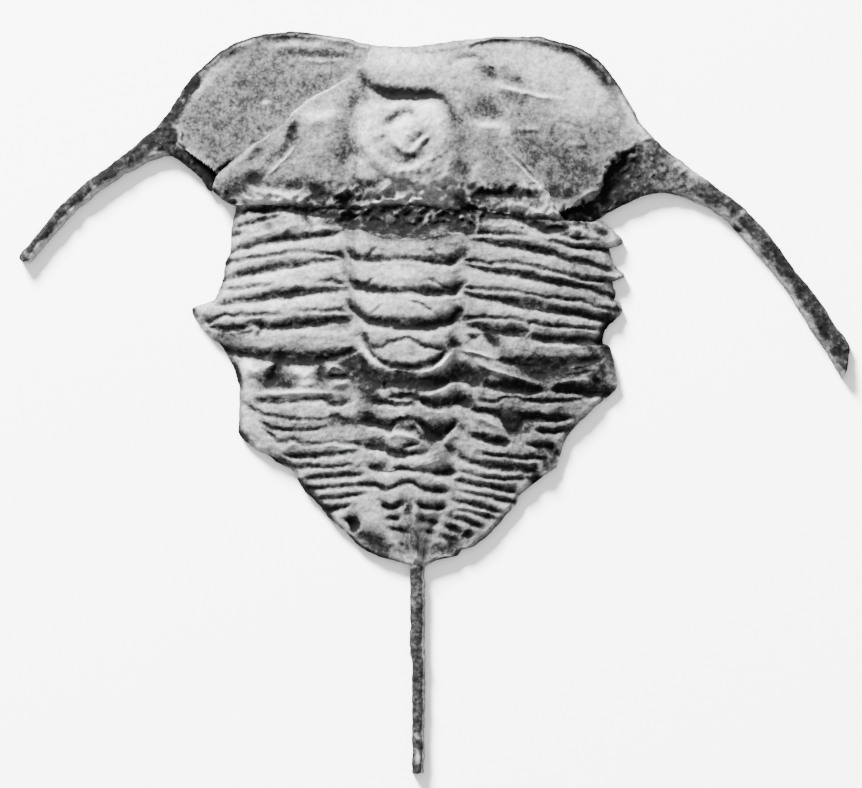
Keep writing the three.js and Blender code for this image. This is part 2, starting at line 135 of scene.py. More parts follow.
AXIS_LEFT = [
    (6.8, -3.9), (4.3, -4.2), (1.2, -3.95), (-1.6, -3.7), (-3.4, -3.5), (-7.1, -2.75), (-9.6, -2.2),
    (-12.5, -2.5), (-14.5, -1.8), (-15.6, -0.8), (-18.6, 0.3), (-34, 0.4),
]
AXIS_RIGHT = [
    (6.8, 3.9), (4.6, 4.1), (0.6, 3.65), (-1.6, 3.4), (-3.4, 3.4), (-5.8, 3.5), (-7.8, 3.4), (-9.6, 3.0),
    (-12.0, 3.0), (-13.5, 2.65), (-14.8, 2.3), (-16.4, 1.2), (-18.6, 0.9), (-34, 0.8),
]

# Outlines of the free cheeks, from the front of the head to the tip of the genal spine, as (x, y)
LEFT_CHEEK_OUTER = [
    (-2.85, 18.35), (-5.4, 18.93), (-8.35, 19.29), (-11.1, 18.93), (-13.3, 18.05), (-15.1, 16.45),
    (-16.4, 14.85), (-17.3, 13.4), (-17.7, 12.9), (-18.2, 12.35), (-18.8, 11.85), (-19.6, 11.15),
    (-21.55, 9.65), (-23.35, 8.3), (-24.7, 7.1), (-25.95, 5.7), (-27.15, 4.2), (-28.15, 3.0),
]
LEFT_CHEEK_INNER = [
    (-3.0, 17.3), (-4.0, 16.3), (-5.8, 15.1), (-7.65, 14.1), (-9.3, 12.4), (-11.1, 11.2), (-12.8, 9.75),
    (-14.1, 7.9), (-15.2, 9.0), (-16.6, 10.1), (-17.5, 10.35), (-19.0, 9.8), (-20.9, 8.75), (-22.7, 7.45),
    (-23.9, 6.45), (-25.1, 5.2), (-26.3, 3.8), (-27.35, 2.55),
]
RIGHT_CHEEK_OUTER = [
    (4.1, 18.7), (6.5, 18.9), (8.15, 18.93), (9.85, 18.8), (12.45, 18.0), (13.95, 16.85), (15.2, 15.2),
    (16.1, 13.55), (16.8, 12.4), (17.5, 11.7), (18.15, 11.1), (18.8, 10.55), (19.6, 9.95), (20.5, 9.25),
    (21.9, 8.2), (23.3, 7.2), (24.6, 6.05), (26.0, 4.45), (27.6, 2.25), (29.1, 0.5), (30.45, -1.6),
    (31.6, -3.25), (31.45, -4.75),
]
RIGHT_CHEEK_INNER = [
    (4.3, 18.1), (4.9, 17.5), (5.9, 16.8), (6.5, 15.5), (6.55, 14.4), (7.25, 12.9), (7.7, 11.4),
    (9.2, 9.3), (10.45, 7.2), (11.1, 5.9), (13.3, 5.75), (14.4, 6.35), (16.1, 7.2), (17.9, 7.75),
    (19.65, 7.4), (21.2, 6.75), (22.7, 5.8), (24.3, 4.1), (25.6, 2.6), (27.3, 0.45), (28.75, -1.95),
    (30.05, -3.9), (31.1, -5.6),
]

# The front of the cranidium, as (x, y), and the seams between the plates of the thorax from the head to the
# pygidium, by their y at the stations and at the crown of the ring on the axis
CRANIDIUM_FRONT = [(-2.8, 18.3), (-1.9, 18.2), (-0.3, 18.14), (1.1, 18.3), (2.9, 18.5), (4.4, 18.7)]
STATIONS = (-13.5, -10.5, -7.5, -4.2, 3.8, 6.5, 9.5, 12.5, 14.8)
AXIS_STATIONS = (-4.2, 3.8)
CROWN_X = -0.3
ARCH_REACH = 0.75
SEAMS = [
    ((6.8, 6.8, 6.6, 6.4, 6.4, 6.2, 5.7, 5.6, 5.7), 6.7),
    ((3.1, 4.1, 4.5, 4.9, 4.6, 4.1, 3.6, 2.8, 1.9), 4.2),
    ((1.5, 2.1, 2.6, 2.9, 2.7, 2.2, 1.6, 0.9, 0.1), 3.2),
    ((-0.1, 0.1, 0.6, 0.9, 0.6, -0.1, -0.6, -1.1, -1.6), 2.1),
    ((-1.9, -1.9, -1.6, -1.3, -1.6, -2.1, -2.6, -2.8, -3.0), 0.0),
    ((-3.1, -3.8, -3.9, -3.6, -3.8, -4.4, -4.2, -4.1, -3.9), -2.8),
    ((-7.1, -7.1, -7.1, -7.1, -5.8, -6.1, -6.5, -6.4, -6.5), -6.6),
    ((-8.9, -9.1, -9.2, -9.1, -7.6, -8.0, -8.3, -8.5, -8.6), -8.4),
    ((-10.0, -10.9, -11.1, -10.8, -9.4, -10.1, -10.4, -10.0, -10.0), -10.1),
    ((-12.1, -12.3, -12.7, -12.4, -11.3, -11.9, -12.2, -12.4, -12.5), -12.0),
]

# Heights: the pleural field beside the axis as (y, z)
FIELD = [(7, 3.1), (0, 3.1), (-6, 2.8), (-12, 2.2), (-17, 1.4), (-19.2, 1.1), (-34, 0.9)]

# Furrows and steps in the relief. Each runs across the body and is given by picture dots: x, its front
# edge and its rear edge. The stone falls away gently from the front edge and rises steeply at the rear one.
HEAD_FURROWS = [
    # in front of the glabella
    [(372, 85, 90), (378, 85, 95), (384, 86, 98), (391, 87.5, 99.5), (403, 86, 100), (413, 87, 100),
     (424, 89, 99.5), (433, 91, 98.5), (441, 94, 100)],
    # behind the right fixed cheek
    [(472, 192, 197), (482, 190, 198.5), (495, 187.5, 197), (510, 188, 196), (525, 191, 197),
     (540, 194, 199)],
]
HEAD_SHALLOW_FURROWS = [
    [(250, 176, 184), (262, 180, 188), (280, 180, 189), (300, 180, 189), (318, 182, 195), (333, 184, 202),
     (348, 188, 206)],
    [(360, 75, 80), (368, 80, 87), (376, 84, 94)],
    [(436, 92, 99), (446, 97, 105), (456, 112, 120), (464, 122, 130)],
    [(424, 190, 197), (443, 188, 199), (465, 191, 199)],
]
THORAX_FURROWS = [
    # under the rear edge of the head, left and right
    [(238, 205, 212), (252, 205, 211), (264, 203, 213), (282, 200, 212), (300, 199, 214), (320, 202, 217),
     (334, 204, 218)],
    [(478, 206, 216), (488, 206, 217), (502, 208, 219), (520, 214, 222), (534, 217, 229),
     (543, 219, 232), (555, 222, 233), (572, 221, 227), (585, 222, 225)],
    # first segment
    [(234, 225.5, 228.5), (250, 219.5, 224), (265, 214, 219), (282, 210, 216)],
    [(231, 231.5, 236.5), (238, 230.5, 236), (245, 229, 232)],
    [(466, 230, 236), (478, 230, 235), (492, 231, 235.5), (510, 232.5, 235.5), (530, 234, 236.5)],
    [(555, 231, 234), (565, 231.5, 236), (580, 236, 240.5), (594, 239, 242.5)],
    [(543, 238.5, 241), (562, 240.5, 245), (580, 243, 248.5), (600, 244.5, 250), (612, 246, 252)],
    # first seam
    [(228, 251, 254.5), (240, 244, 249.5), (255, 240, 246.5), (268, 238, 244.5), (281, 234, 242.5),
     (292, 231, 241.5), (306, 232.5, 240.5), (318, 233, 238.5), (336, 231, 236), (343, 231, 233)],
    [(468, 238, 240), (480, 239, 243.5), (500, 240.5, 247), (512, 240.5, 248.5), (524, 241, 250.5),
     (536, 245, 254), (550, 249, 256.5), (562, 253.5, 259), (574, 256, 262), (590, 260, 266),
     (606, 265, 270.5), (617, 269, 273.5)],
    # second segment and seam
    [(223, 261, 264.5), (238, 258, 262), (252, 256, 260), (268, 253.5, 258), (282, 251.5, 255),
     (296, 251, 253.8), (318, 252, 255), (336, 252, 257), (346, 249, 259)],
    [(463, 257, 262), (475, 259.5, 263), (492, 262, 265), (512, 262.5, 265), (532, 264.5, 268),
     (550, 267.5, 271.5), (566, 270.5, 275.5), (580, 273.5, 279.5), (594, 276, 281), (613, 276.5, 279.5)],
    [(218, 279, 281.5), (230, 274, 279.5), (244, 269, 276.5), (259, 265, 274), (270, 262, 272),
     (284, 260.5, 269.5), (299, 259.5, 267.5), (314, 259.5, 265), (328, 259.5, 263), (343, 259, 261.5)],
    [(466, 265, 267.5), (478, 267, 271), (490, 268.5, 273.5), (506, 269.5, 276), (518, 270.5, 277.5),
     (530, 272, 280.5), (544, 275.5, 283), (560, 279, 286), (574, 281.5, 288), (590, 285, 291.5),
     (604, 290, 296), (618, 295, 300)],
    # third
    [(221, 286.5, 289.5), (234, 287, 290.5), (245, 285.5, 289), (259, 283.5, 287), (277, 283, 285.5)],
    [(318, 280, 282), (334, 280.5, 283.5), (347, 280, 287)],
    [(465, 285, 290), (478, 288.5, 291.5), (495, 289, 292), (515, 290, 293), (535, 293.5, 297),
     (550, 296, 299.5), (564, 297, 300.5), (578, 297.5, 301.5), (592, 301, 305.5), (604, 305.5, 309.5),
     (617, 309, 312)],
    [(213, 301, 303.5), (226, 298.5, 304.5), (241, 296.5, 303), (252, 294, 302), (270, 290, 300),
     (285, 288, 298.5), (299, 287, 297.5), (314, 287, 295.5), (328, 287.5, 294), (343, 287.5, 291.5),
     (352, 288, 290)],
    [(463, 292, 295), (472, 293.5, 297.5), (482, 295, 300.5), (498, 296, 302.5), (510, 296.5, 305),
     (522, 297.5, 308.5), (538, 300, 311), (550, 303, 312.5), (562, 305.5, 314.5), (574, 308, 316.5),
     (590, 310.5, 319), (602, 313.5, 321), (615, 316, 323)],
    # fourth
    [(202, 317, 323), (210, 317, 323), (216, 315, 319.5), (225, 311.5, 315.5), (233, 315, 318.5),
     (244, 312.5, 316), (258, 312, 316), (272, 312.5, 315.5), (285, 312, 314.5)],
    [(298, 309, 311.5), (320, 309.5, 313), (338, 308.5, 313), (348, 305, 314)],
    [(463, 315, 320), (482, 316, 319.5), (510, 317, 320), (528, 320, 323)],
    [(528, 319, 323), (544, 322.5, 326.5), (562, 324, 328), (580, 325, 329), (601, 326.5, 330.5)],
    [(207, 322, 326.5), (226, 323.5, 331), (241, 323, 329.5), (252, 320, 326.5), (266, 321.5, 329.5),
     (281, 320, 329.5), (299, 318, 328.5), (317, 317, 326.5), (332, 317, 324), (346, 317, 321.5),
     (353, 317.5, 319.5)],
    [(464, 322, 324), (471, 323.5, 328), (482, 324.5, 331), (498, 325, 333.5), (510, 325.5, 336),
     (522, 327, 336), (530, 328.5, 333)],
    [(526, 336, 339), (532, 333.5, 340), (544, 333.5, 342), (562, 335, 343), (580, 336, 344),
     (598, 337, 344), (606, 338, 342)],
    # fifth, left and right
    [(293, 345, 349), (298, 341, 346), (304, 340, 342.5)],
    [(467, 334.5, 337), (474, 335, 339), (481, 335, 337.5)],
    # fifth seam
    [(213, 338, 343), (222, 342, 348.5), (231, 345, 353.5), (245, 347.5, 358), (260, 348.5, 360.5),
     (275, 348.5, 363), (284, 347, 365), (298, 345, 365.5), (311, 348.5, 366), (322, 349.5, 363),
     (336, 349.5, 360), (350, 347.5, 355), (359, 346, 349)],
    [(496, 357, 361), (505, 358, 364.5), (516, 358.5, 366.5), (527, 358, 372), (538, 358, 378),
     (550, 358, 376), (562, 357.5, 373), (574, 356.5, 369), (590, 355.5, 364.5), (603, 353, 359)],
    [(548, 373.5, 378), (565, 371.5, 376), (580, 370, 374), (593, 368, 371.5)],
    [(343, 360, 366), (350, 356, 371), (357, 357, 377), (364, 362, 383), (371, 370, 388)],
    # sixth seam
    [(254, 397.5, 402.5), (275, 396.5, 403), (300, 396.5, 402.5), (320, 395, 401), (336, 396, 405.5),
     (353, 397.5, 403)],
    [(479, 380, 384), (490, 381, 388.5), (502, 381, 391.5), (515, 381.5, 393.5), (527, 384, 394),
     (537, 387, 393.5), (548, 389.5, 392)],
    [(550, 388, 391), (562, 384.5, 393.5), (574, 384, 394), (586, 384, 397), (598, 381.5, 397),
     (608, 384, 397.5), (616, 387, 394)],
    # seventh
    [(243, 400, 403), (252, 406, 410), (265, 411, 415), (280, 412.5, 417.5), (294, 415, 420),
     (311, 416, 419.5), (325, 416, 419.5), (333, 412.5, 418), (342, 414.5, 420.5), (348, 418, 423)],
    [(478, 398.5, 401.5), (495, 399.5, 402.5), (508, 396.5, 399), (525, 397.5, 401), (542, 399.5, 403.5),
     (562, 398.5, 402.5), (587, 396, 399.5)],
    [(260, 420, 426), (272, 424, 429.5), (286, 426.5, 431.5), (302, 427, 431.5), (318, 425, 430),
     (331, 424, 427)],
    [(470, 407, 410.5), (486, 408, 414.5), (498, 410, 418), (505, 410.5, 427), (512, 410.5, 436),
     (518, 411, 433), (526, 411.5, 422.5), (538, 412.5, 421.5), (550, 413.5, 422), (562, 414, 421.5),
     (573, 415, 419.5)],
    [(358, 413, 423), (368, 413, 426), (378, 417, 428)],
    # eighth
    [(261, 426, 430), (271, 432, 436.5), (281, 438.5, 443.5), (293, 437.5, 442), (307, 440, 445),
     (322, 440.5, 444.5), (338, 439.5, 443.5), (352, 440.5, 444.5), (366, 441, 449)],
    [(534, 429.5, 432), (543, 428.5, 433.5), (556, 428, 433.5), (566, 427, 432), (574, 423, 428)],
    [(280, 452.5, 455.5), (298, 452, 458), (317, 452, 458.5), (338, 451, 456.5), (354, 449.5, 453.5),
     (363, 449, 451)],
    [(469, 432.5, 436), (480, 433, 440.5), (492, 435, 444), (506, 438, 446), (511, 441, 444)],
    [(526, 443, 445.5), (538, 441.5, 448.5), (549, 442, 448.5), (558, 445, 449)],
    # ninth
    [(267, 452, 458), (280, 457, 464), (294, 463, 467.5), (312, 463.5, 468.5), (330, 464.5, 468.5),
     (353, 463, 466.5)],
    [(475, 452, 454), (492, 453, 456.5), (508, 454, 458), (522, 454.5, 459.5), (536, 456, 461),
     (547, 458, 461)],
    [(303, 476, 480.5), (318, 474.5, 480), (335, 472.5, 478.5), (348, 472, 477.5), (365, 472, 476)],
    [(457, 454, 458), (468, 457, 462), (482, 461, 467.5), (498, 462.5, 470), (516, 464, 472),
     (530, 465, 472.5), (541, 465.5, 470)],
    # rings of the axis
    [(346, 246, 254), (352, 247, 259.5), (360, 254, 262), (370, 255.5, 263), (380, 256, 262.5),
     (390, 256.5, 261.5), (400, 256.5, 261), (410, 257, 261.5), (425, 258, 264), (438, 257.5, 266),
     (450, 255.5, 266), (460, 250, 262), (467, 247, 256)],
    [(349, 276, 282), (354, 277, 288), (361, 281, 291), (368, 283, 293), (380, 286, 294), (400, 288, 294),
     (418, 287.5, 295), (428, 286, 296.5), (441, 285, 297), (452, 282, 295), (460, 279, 291),
     (467, 277, 284)],
    [(348, 299, 306), (354, 301, 312), (361, 307, 319), (368, 312, 324), (380, 317.5, 327),
     (391, 317.5, 329), (402, 318.5, 330), (418, 318, 331), (430, 317, 330), (441, 313, 328),
     (450, 308, 325), (458, 304, 318), (464, 304, 312)],
    [(371, 343.5, 347.5), (379, 344, 347.8), (387, 340.5, 344.5), (397, 338.5, 342.5), (407, 336.8, 340.3),
     (414, 339, 343), (422, 342, 347), (432, 345, 350), (446, 348.5, 353.5)],
    [(368, 348.5, 352), (377, 355, 359.5), (385, 360.5, 367), (393, 362.5, 370), (405, 362.5, 370),
     (418, 362, 369.5), (430, 360, 368.5), (437, 356.5, 364.5), (444, 351, 358.5), (451, 350, 353)],
    [(352, 354, 370), (360, 354, 377), (368, 362, 382), (375, 369, 387), (385, 372, 387.5),
     (402, 372, 388), (418, 374, 389.5), (428, 375.5, 391), (438, 373.5, 388.5), (448, 367, 384),
     (460, 361, 381), (473, 366, 386), (484, 371, 386)],
    [(371, 396, 404), (385, 398.5, 405), (398, 400.5, 406), (416, 401, 405.5)],
    [(387, 395, 399), (398, 392.5, 398), (410, 391, 397), (419, 393.5, 399), (426, 396, 407),
     (436, 397, 409), (448, 395, 408), (458, 391, 405), (468, 394, 408), (474, 398, 405)],
    [(357, 410, 420), (370, 413.5, 425), (382, 419, 429), (391, 419, 431), (398, 417.5, 423.5),
     (407, 415.5, 419.7), (415, 417, 422), (422, 419, 428), (428, 421, 436), (434, 421, 440),
     (440, 421, 440), (446, 422, 436), (452, 421, 430), (458, 418, 424)],
    [(386, 426, 429.5), (397, 427, 430.5), (408, 427, 430.5), (420, 427.5, 430)],
    [(362, 439, 447), (372, 439, 450), (384, 437, 451), (391, 443, 456), (400, 445, 457), (410, 449, 455.5),
     (420, 449.5, 454.5), (429, 450.5, 453)],
    [(395, 446, 450.5), (404, 442.5, 449), (412, 440.5, 446), (420, 440, 443.5)],
    [(446, 441, 448), (451, 440, 455), (457, 443, 452)],
    [(367, 461, 466), (376, 463.5, 471.5), (385, 461, 470)],
    [(393, 466, 470.5), (402, 465.5, 471), (415, 468, 471.5), (430, 468.5, 473), (438, 466.5, 475.5),
     (447, 465.5, 476.5), (458, 468.5, 474)],
]
TAIL_FURROWS = [
    [(299, 485, 492), (313, 485.5, 491.5), (322, 485, 490.5), (335, 484.5, 489), (352, 483.5, 487),
     (365, 481.5, 486.5), (375, 481, 487.5), (382, 485, 491), (389, 486, 491), (395, 483.5, 488.5),
     (402, 480, 485), (410, 479, 484), (418, 482, 487.5), (424, 484.5, 491), (433, 485.5, 493),
     (441, 485, 494), (448, 487, 492.5)],
    [(317, 497, 501), (326, 496, 501), (340, 494, 498.8), (355, 492.5, 496.8), (368, 491, 494.5)],
    [(319, 508, 514), (326, 507, 513), (333, 505.5, 511.5), (341, 504, 509.5), (351, 503.5, 506.5)],
    [(341, 516, 521), (348, 518, 524), (353, 516, 531), (358, 511, 528), (362, 512, 523)],
    [(377, 498, 501.5), (385, 502, 508), (393, 502.5, 508.5), (400, 500, 506.5), (406, 496, 502)],
    [(413, 499, 502), (421, 502.5, 509), (431, 504, 510), (440, 502, 509.5), (448, 502.5, 507)],
    [(383, 516, 520), (393, 515, 519.8), (403, 514, 518)],
    [(404, 507.5, 513), (411, 508, 516)],
    [(415, 515.5, 518.5), (425, 516.5, 522.5), (432, 517.5, 524), (441, 520.5, 525)],
    [(387, 526, 529.5), (396, 527.5, 532), (409, 528, 532.5)],
    [(420, 527, 530.5), (428, 528, 532.5), (437, 530.5, 534)],
    [(399, 542, 545), (407, 543.5, 547)],
    [(420, 538, 541), (429, 540, 543)],
    [(457, 470.5, 473), (472, 473, 476.5), (491, 474.5, 479.5), (508, 475.5, 480.5), (525, 477.5, 481)],
    [(454, 478, 481), (465, 479, 484.5), (479, 481, 488), (491, 483.5, 490), (505, 485.5, 492.5),
     (519, 488, 494)],
    [(457, 489, 491.5), (479, 493, 497), (491, 494.5, 499.5), (505, 497, 503), (519, 499.5, 504)],
    [(452, 498, 501), (461, 499, 503.5), (471, 500.5, 506.5), (483, 503, 510), (495, 507, 513.5),
     (505, 510, 514)],
    [(454, 507.5, 510), (474, 511, 515.5), (488, 514.5, 520), (500, 516.5, 521)],
    [(445, 514, 517), (455, 515.5, 520), (464, 517, 522.5), (474, 520.5, 526.5), (486, 525, 529.5)],
    [(441, 522.5, 527), (452, 524.5, 531.5), (463, 528, 533)],
    [(462, 530, 537), (470, 531, 537.5), (475, 533, 536)],
    [(439, 535, 538.5), (450, 537.5, 541), (458, 539, 542)],
]
LOST_GROUND = [(250, 374), (300, 376), (345, 374)]

# Ridges and hollows: (height in mm, width in mm, the picture dots they run through)
HEAD_MARKS = [
    (0.22, 1.0, [(380, 70), (395, 66), (420, 66), (436, 68)]),
    # beside the glabella
    (-0.24, 0.6, [(347, 112), (347, 135), (346, 158), (343, 178)]),
    (-0.16, 0.7, [(466, 135), (467, 160), (468, 185)]),
    # crumpled top of the glabella
    (0.12, 0.2, [(388, 130), (394, 142), (402, 150), (409, 154), (417, 150), (426, 141), (436, 130)]),
    (-0.16, 0.2, [(410, 147), (418, 139), (424, 133)]),
    (-0.12, 0.2, [(419, 151), (428, 143), (434, 136)]),
    (-0.24, 0.3, [(385, 127), (392, 119), (402, 113), (412, 111)]),
    (-0.1, 0.3, [(372, 146), (380, 142), (387, 138)]),
    (0.1, 0.3, [(386, 166), (398, 172), (411, 171), (424, 164), (436, 153)]),
    (-0.1, 0.3, [(383, 153), (396, 157), (409, 160), (421, 158)]),
    # lobe at the rear left of the glabella
    (0.22, 0.4, [(351, 178), (350, 165), (356, 161), (364, 168), (372, 176)]),
    (-0.22, 0.26, [(352, 176), (358, 182), (364, 190)]),
    (0.12, 0.5, [(436, 170), (448, 174), (452, 182)]),
    # eyes and the fixed cheeks
    (0.3, 0.55, [(306, 120), (338, 117)]),
    (-0.24, 0.34, [(299, 120), (294, 132), (287, 145)]),
    (-0.16, 0.3, [(286, 150), (280, 158)]),
    (-0.2, 0.4, [(262, 152), (252, 160)]),
    (-0.25, 0.45, [(262, 176), (248, 180)]),
    (0.12, 0.12, [(302, 138), (291, 152), (278, 166), (267, 176), (257, 187)]),
    (0.25, 0.25, [(248, 187), (256, 190)]),
    (-0.12, 0.5, [(330, 152), (318, 172)]),
    (0.3, 0.45, [(478, 127), (498, 127), (506, 131)]),
    (-0.12, 0.4, [(478, 104), (495, 104)]),
    (0.18, 0.14, [(494, 141), (512, 158), (530, 177), (556, 204)]),
    (-0.12, 0.09, [(505, 150), (520, 165), (535, 178)]),
    (0.1, 0.09, [(508, 147), (524, 163), (540, 180)]),
    (-0.12, 0.5, [(490, 160), (505, 180)]),
    # rear border
    (0.26, 0.3, [(262, 193), (280, 194), (300, 195), (315, 197)]),
    (-0.2, 0.16, [(243, 205), (262, 206), (285, 204)]),
    (0.24, 0.24, [(495, 201), (508, 203), (530, 209), (545, 213), (560, 212)]),
    (-0.5, 0.11, [(565, 206), (562, 219)]),
    # dome and pit at the front right
    (0.16, 0.6, [(458, 69), (474, 69)]),
    (-0.14, 0.26, [(446, 66), (455, 58), (467, 55), (479, 57), (488, 66)]),
    (0.2, 0.1, [(489, 64), (494, 66)]),
    # left cheek
    (-0.2, 0.42, [(296, 50), (319, 52), (344, 53)]),
    (0.16, 0.18, [(296, 58), (320, 61), (345, 60)]),
    (-0.12, 0.35, [(270, 53), (298, 53)]),
    (0.15, 0.35, [(228, 56), (212, 72), (196, 92), (184, 108)]),
    (-0.16, 0.3, [(237, 41), (262, 37), (285, 35), (305, 35)]),
    (0.12, 0.3, [(245, 49), (275, 44), (300, 42)]),
    (-0.25, 0.22, [(215, 175), (224, 168), (233, 161)]),
    (0.14, 0.2, [(265, 103), (269, 103)]),
    (-0.1, 0.3, [(302, 82), (310, 88)]),
    # right cheek
    (-0.18, 0.3, [(487, 66), (492, 70), (496, 76)]),
    (-0.22, 0.4, [(503, 74), (514, 78), (524, 82)]),
    (0.2, 0.18, [(486, 82), (501, 88), (520, 92), (540, 96), (567, 99.5)]),
    (-0.1, 0.3, [(500, 98), (530, 103)]),
    (-0.1, 0.12, [(514, 134), (545, 134)]),
    (0.1, 0.14, [(512, 129), (545, 129)]),
    (0.1, 0.14, [(565, 143), (590, 145)]),
    (-0.1, 0.12, [(553, 121), (597, 131)]),
    (-0.16, 0.3, [(557, 44), (576, 51), (590, 62), (606, 78)]),
    (-0.3, 0.35, [(578, 205), (596, 206)]),
    (0.3, 0.2, [(584, 196), (590, 193), (600, 190)]),
    (-0.1, 0.5, [(545, 150), (575, 162)]),
]
NECK_LIP = [
    (0.3, 0.16, [(356, 204), (364, 203), (370, 206), (380, 203), (395, 200), (403, 203), (406, 207),
                 (412, 201), (425, 204), (440, 207), (448, 210)]),
    (0.25, 0.12, [(405, 207), (410, 201)]),
    (0.22, 0.12, [(444, 210), (449, 207)]),
]
LEFT_SCARP = [(189, 97), (181, 106), (174, 114), (171, 122), (177, 129), (179, 136), (176, 143), (184, 149)]
RIGHT_SCARP = [(650, 139), (642, 143), (630, 150), (616, 157), (606, 168), (603, 180), (600, 191), (592, 200),
               (584, 203)]
RIGHT_ROOT = [(641, 144), (641, 170), (637, 181), (626, 193), (614, 204)]
SPINE_MARKS = [
    (-0.3, 0.16, [(735, 225), (743, 232)]),
    (0.12, 0.16, [(734, 222), (748, 208)]),
    (-0.1, 0.2, [(694, 180), (704, 186)]),
    (-0.15, 0.14, [(776, 248), (780, 262), (798, 284)]),
    (-0.12, 0.14, [(826, 333), (832, 341)]),
    (-0.12, 0.2, [(842, 352), (843, 366)]),
]
THORAX_MARKS = [
    # half filled furrows on the left
    (0.1, 0.26, [(254, 400), (300, 400), (345, 400)]),
    (0.14, 0.26, [(252, 407), (280, 415), (320, 418), (346, 419)]),
    (0.14, 0.26, [(264, 423), (300, 429), (330, 426)]),
    (0.14, 0.26, [(264, 430), (282, 441), (322, 443), (364, 444)]),
    # first segment
    (-0.22, 0.26, [(265, 221), (270, 227), (273, 231)]),
    (-0.24, 0.32, [(302, 217), (308, 221), (313, 226)]),
    (-0.14, 0.22, [(321, 222), (333, 224)]),
    (0.12, 0.2, [(284, 228), (296, 224)]),
    (0.16, 0.24, [(308, 230), (320, 229), (340, 227)]),
    (0.14, 0.18, [(245, 236), (262, 234), (285, 226)]),
    (0.16, 0.22, [(552, 224), (575, 229), (600, 238), (617, 242)]),
    (0.1, 0.18, [(482, 225), (510, 226)]),
    # oblique ends of the half-rings
    (-0.16, 0.17, [(367, 259), (373, 252), (379, 247)]),
    (-0.16, 0.17, [(427, 249), (433, 254), (440, 259)]),
    (-0.15, 0.17, [(361, 286), (370, 283), (376, 278)]),
    (-0.16, 0.16, [(425, 278), (437, 284), (452, 289)]),
    (-0.12, 0.15, [(372, 314), (378, 310), (382, 306)]),
    (-0.16, 0.14, [(405, 303), (418, 304), (430, 311), (438, 317)]),
    # pits beside the axis
    (-0.3, 0.24, [(364, 332), (367, 343)]),
    (-0.3, 0.3, [(450, 338), (457, 348)]),
    (-0.25, 0.2, [(455, 309), (461, 311)]),
    (-0.2, 0.2, [(344, 271), (348, 276)]),
    # sharp lips beside the sixth ring
    (0.34, 0.3, [(359, 345), (367, 355), (375, 364), (386, 371)]),
    (0.34, 0.25, [(458, 348), (447, 358), (437, 367), (418, 371)]),
    # fracture in the fourth pleura
    (-0.13, 0.14, [(528, 318), (530, 328), (528, 340)]),
    (-0.3, 0.25, [(487, 333), (492, 345)]),
    (0.14, 0.2, [(247, 325), (255, 327)]),
    (0.2, 0.12, [(326, 356), (328, 357)]),
    # flake on the fifth
    (-0.16, 0.16, [(240, 333), (248, 334), (254, 329)]),
    (-0.2, 0.18, [(256, 339), (260, 332), (264, 325)]),
    # crumpled ground on the left of the sixth segment
    (-0.3, 0.36, [(235, 369), (238, 379)]),
    (-0.36, 0.4, [(282, 360), (277, 369), (271, 380), (264, 388)]),
    (-0.2, 0.3, [(281, 384), (293, 387)]),
    (-0.3, 0.4, [(322, 364), (321, 378)]),
    (-0.28, 0.26, [(326, 378), (338, 377), (350, 376)]),
    (-0.14, 0.2, [(246, 381), (256, 377), (262, 383)]),
    (0.35, 0.28, [(249, 365), (256, 375)]),
    (0.35, 0.34, [(293, 370), (304, 375), (312, 372)]),
    (0.25, 0.28, [(298, 384), (312, 383)]),
    (0.25, 0.14, [(328, 373), (333, 367), (344, 369)]),
    (0.3, 0.24, [(333, 384), (350, 383)]),
    (0.2, 0.14, [(266, 368), (277, 362)]),
    (0.25, 0.22, [(243, 393), (275, 393), (310, 392), (342, 395)]),
    # right of the sixth segment
    (0.3, 0.15, [(458, 348), (475, 353), (497, 359)]),
    (0.3, 0.18, [(470, 358), (492, 370), (515, 377), (535, 383), (547, 388)]),
    (0.25, 0.16, [(552, 384), (570, 381), (588, 380)]),
    (0.25, 0.16, [(560, 369), (580, 366), (602, 361)]),
    (-0.35, 0.25, [(601, 345), (608, 352)]),
    (-0.3, 0.25, [(592, 377), (600, 383)]),
    (-0.3, 0.2, [(618, 309), (622, 313)]),
    (-0.25, 0.25, [(604, 328), (610, 326)]),
    # seventh and eighth
    (0.18, 0.22, [(465, 412), (480, 418), (495, 425), (505, 434)]),
    (0.18, 0.2, [(288, 423), (312, 422)]),
    (0.25, 0.22, [(385, 436), (400, 434), (412, 437), (424, 443), (430, 450)]),
    (-0.3, 0.22, [(550, 447), (558, 455)]),
    (-0.25, 0.14, [(385, 385), (385, 388)]),
]
TAIL_MARKS = [
    (-0.26, 0.4, [(358, 534), (369, 540), (380, 548), (392, 556)]),
    (-0.2, 0.45, [(432, 552), (445, 549), (458, 543)]),
    (-0.3, 0.3, [(538, 474), (535, 484)]),
    (0.14, 0.2, [(352, 535), (362, 530)]),
    (0.12, 0.25, [(388, 538), (400, 550)]),
]

# Tone of the stone: (change, width in mm, the picture dots it runs through). The dust lies thin in hollows
# and on rims, and thick on what stands up. The darkening in furrows and hollows, under the rear edge of the
# head and along the rims and spines is also painted shade, and some of the lighter marks are painted
# highlights on edges that face the light.
BASE_TONE = 0.628
ROOT_TONE = -0.31  # the dull ground between a cheek and its spine
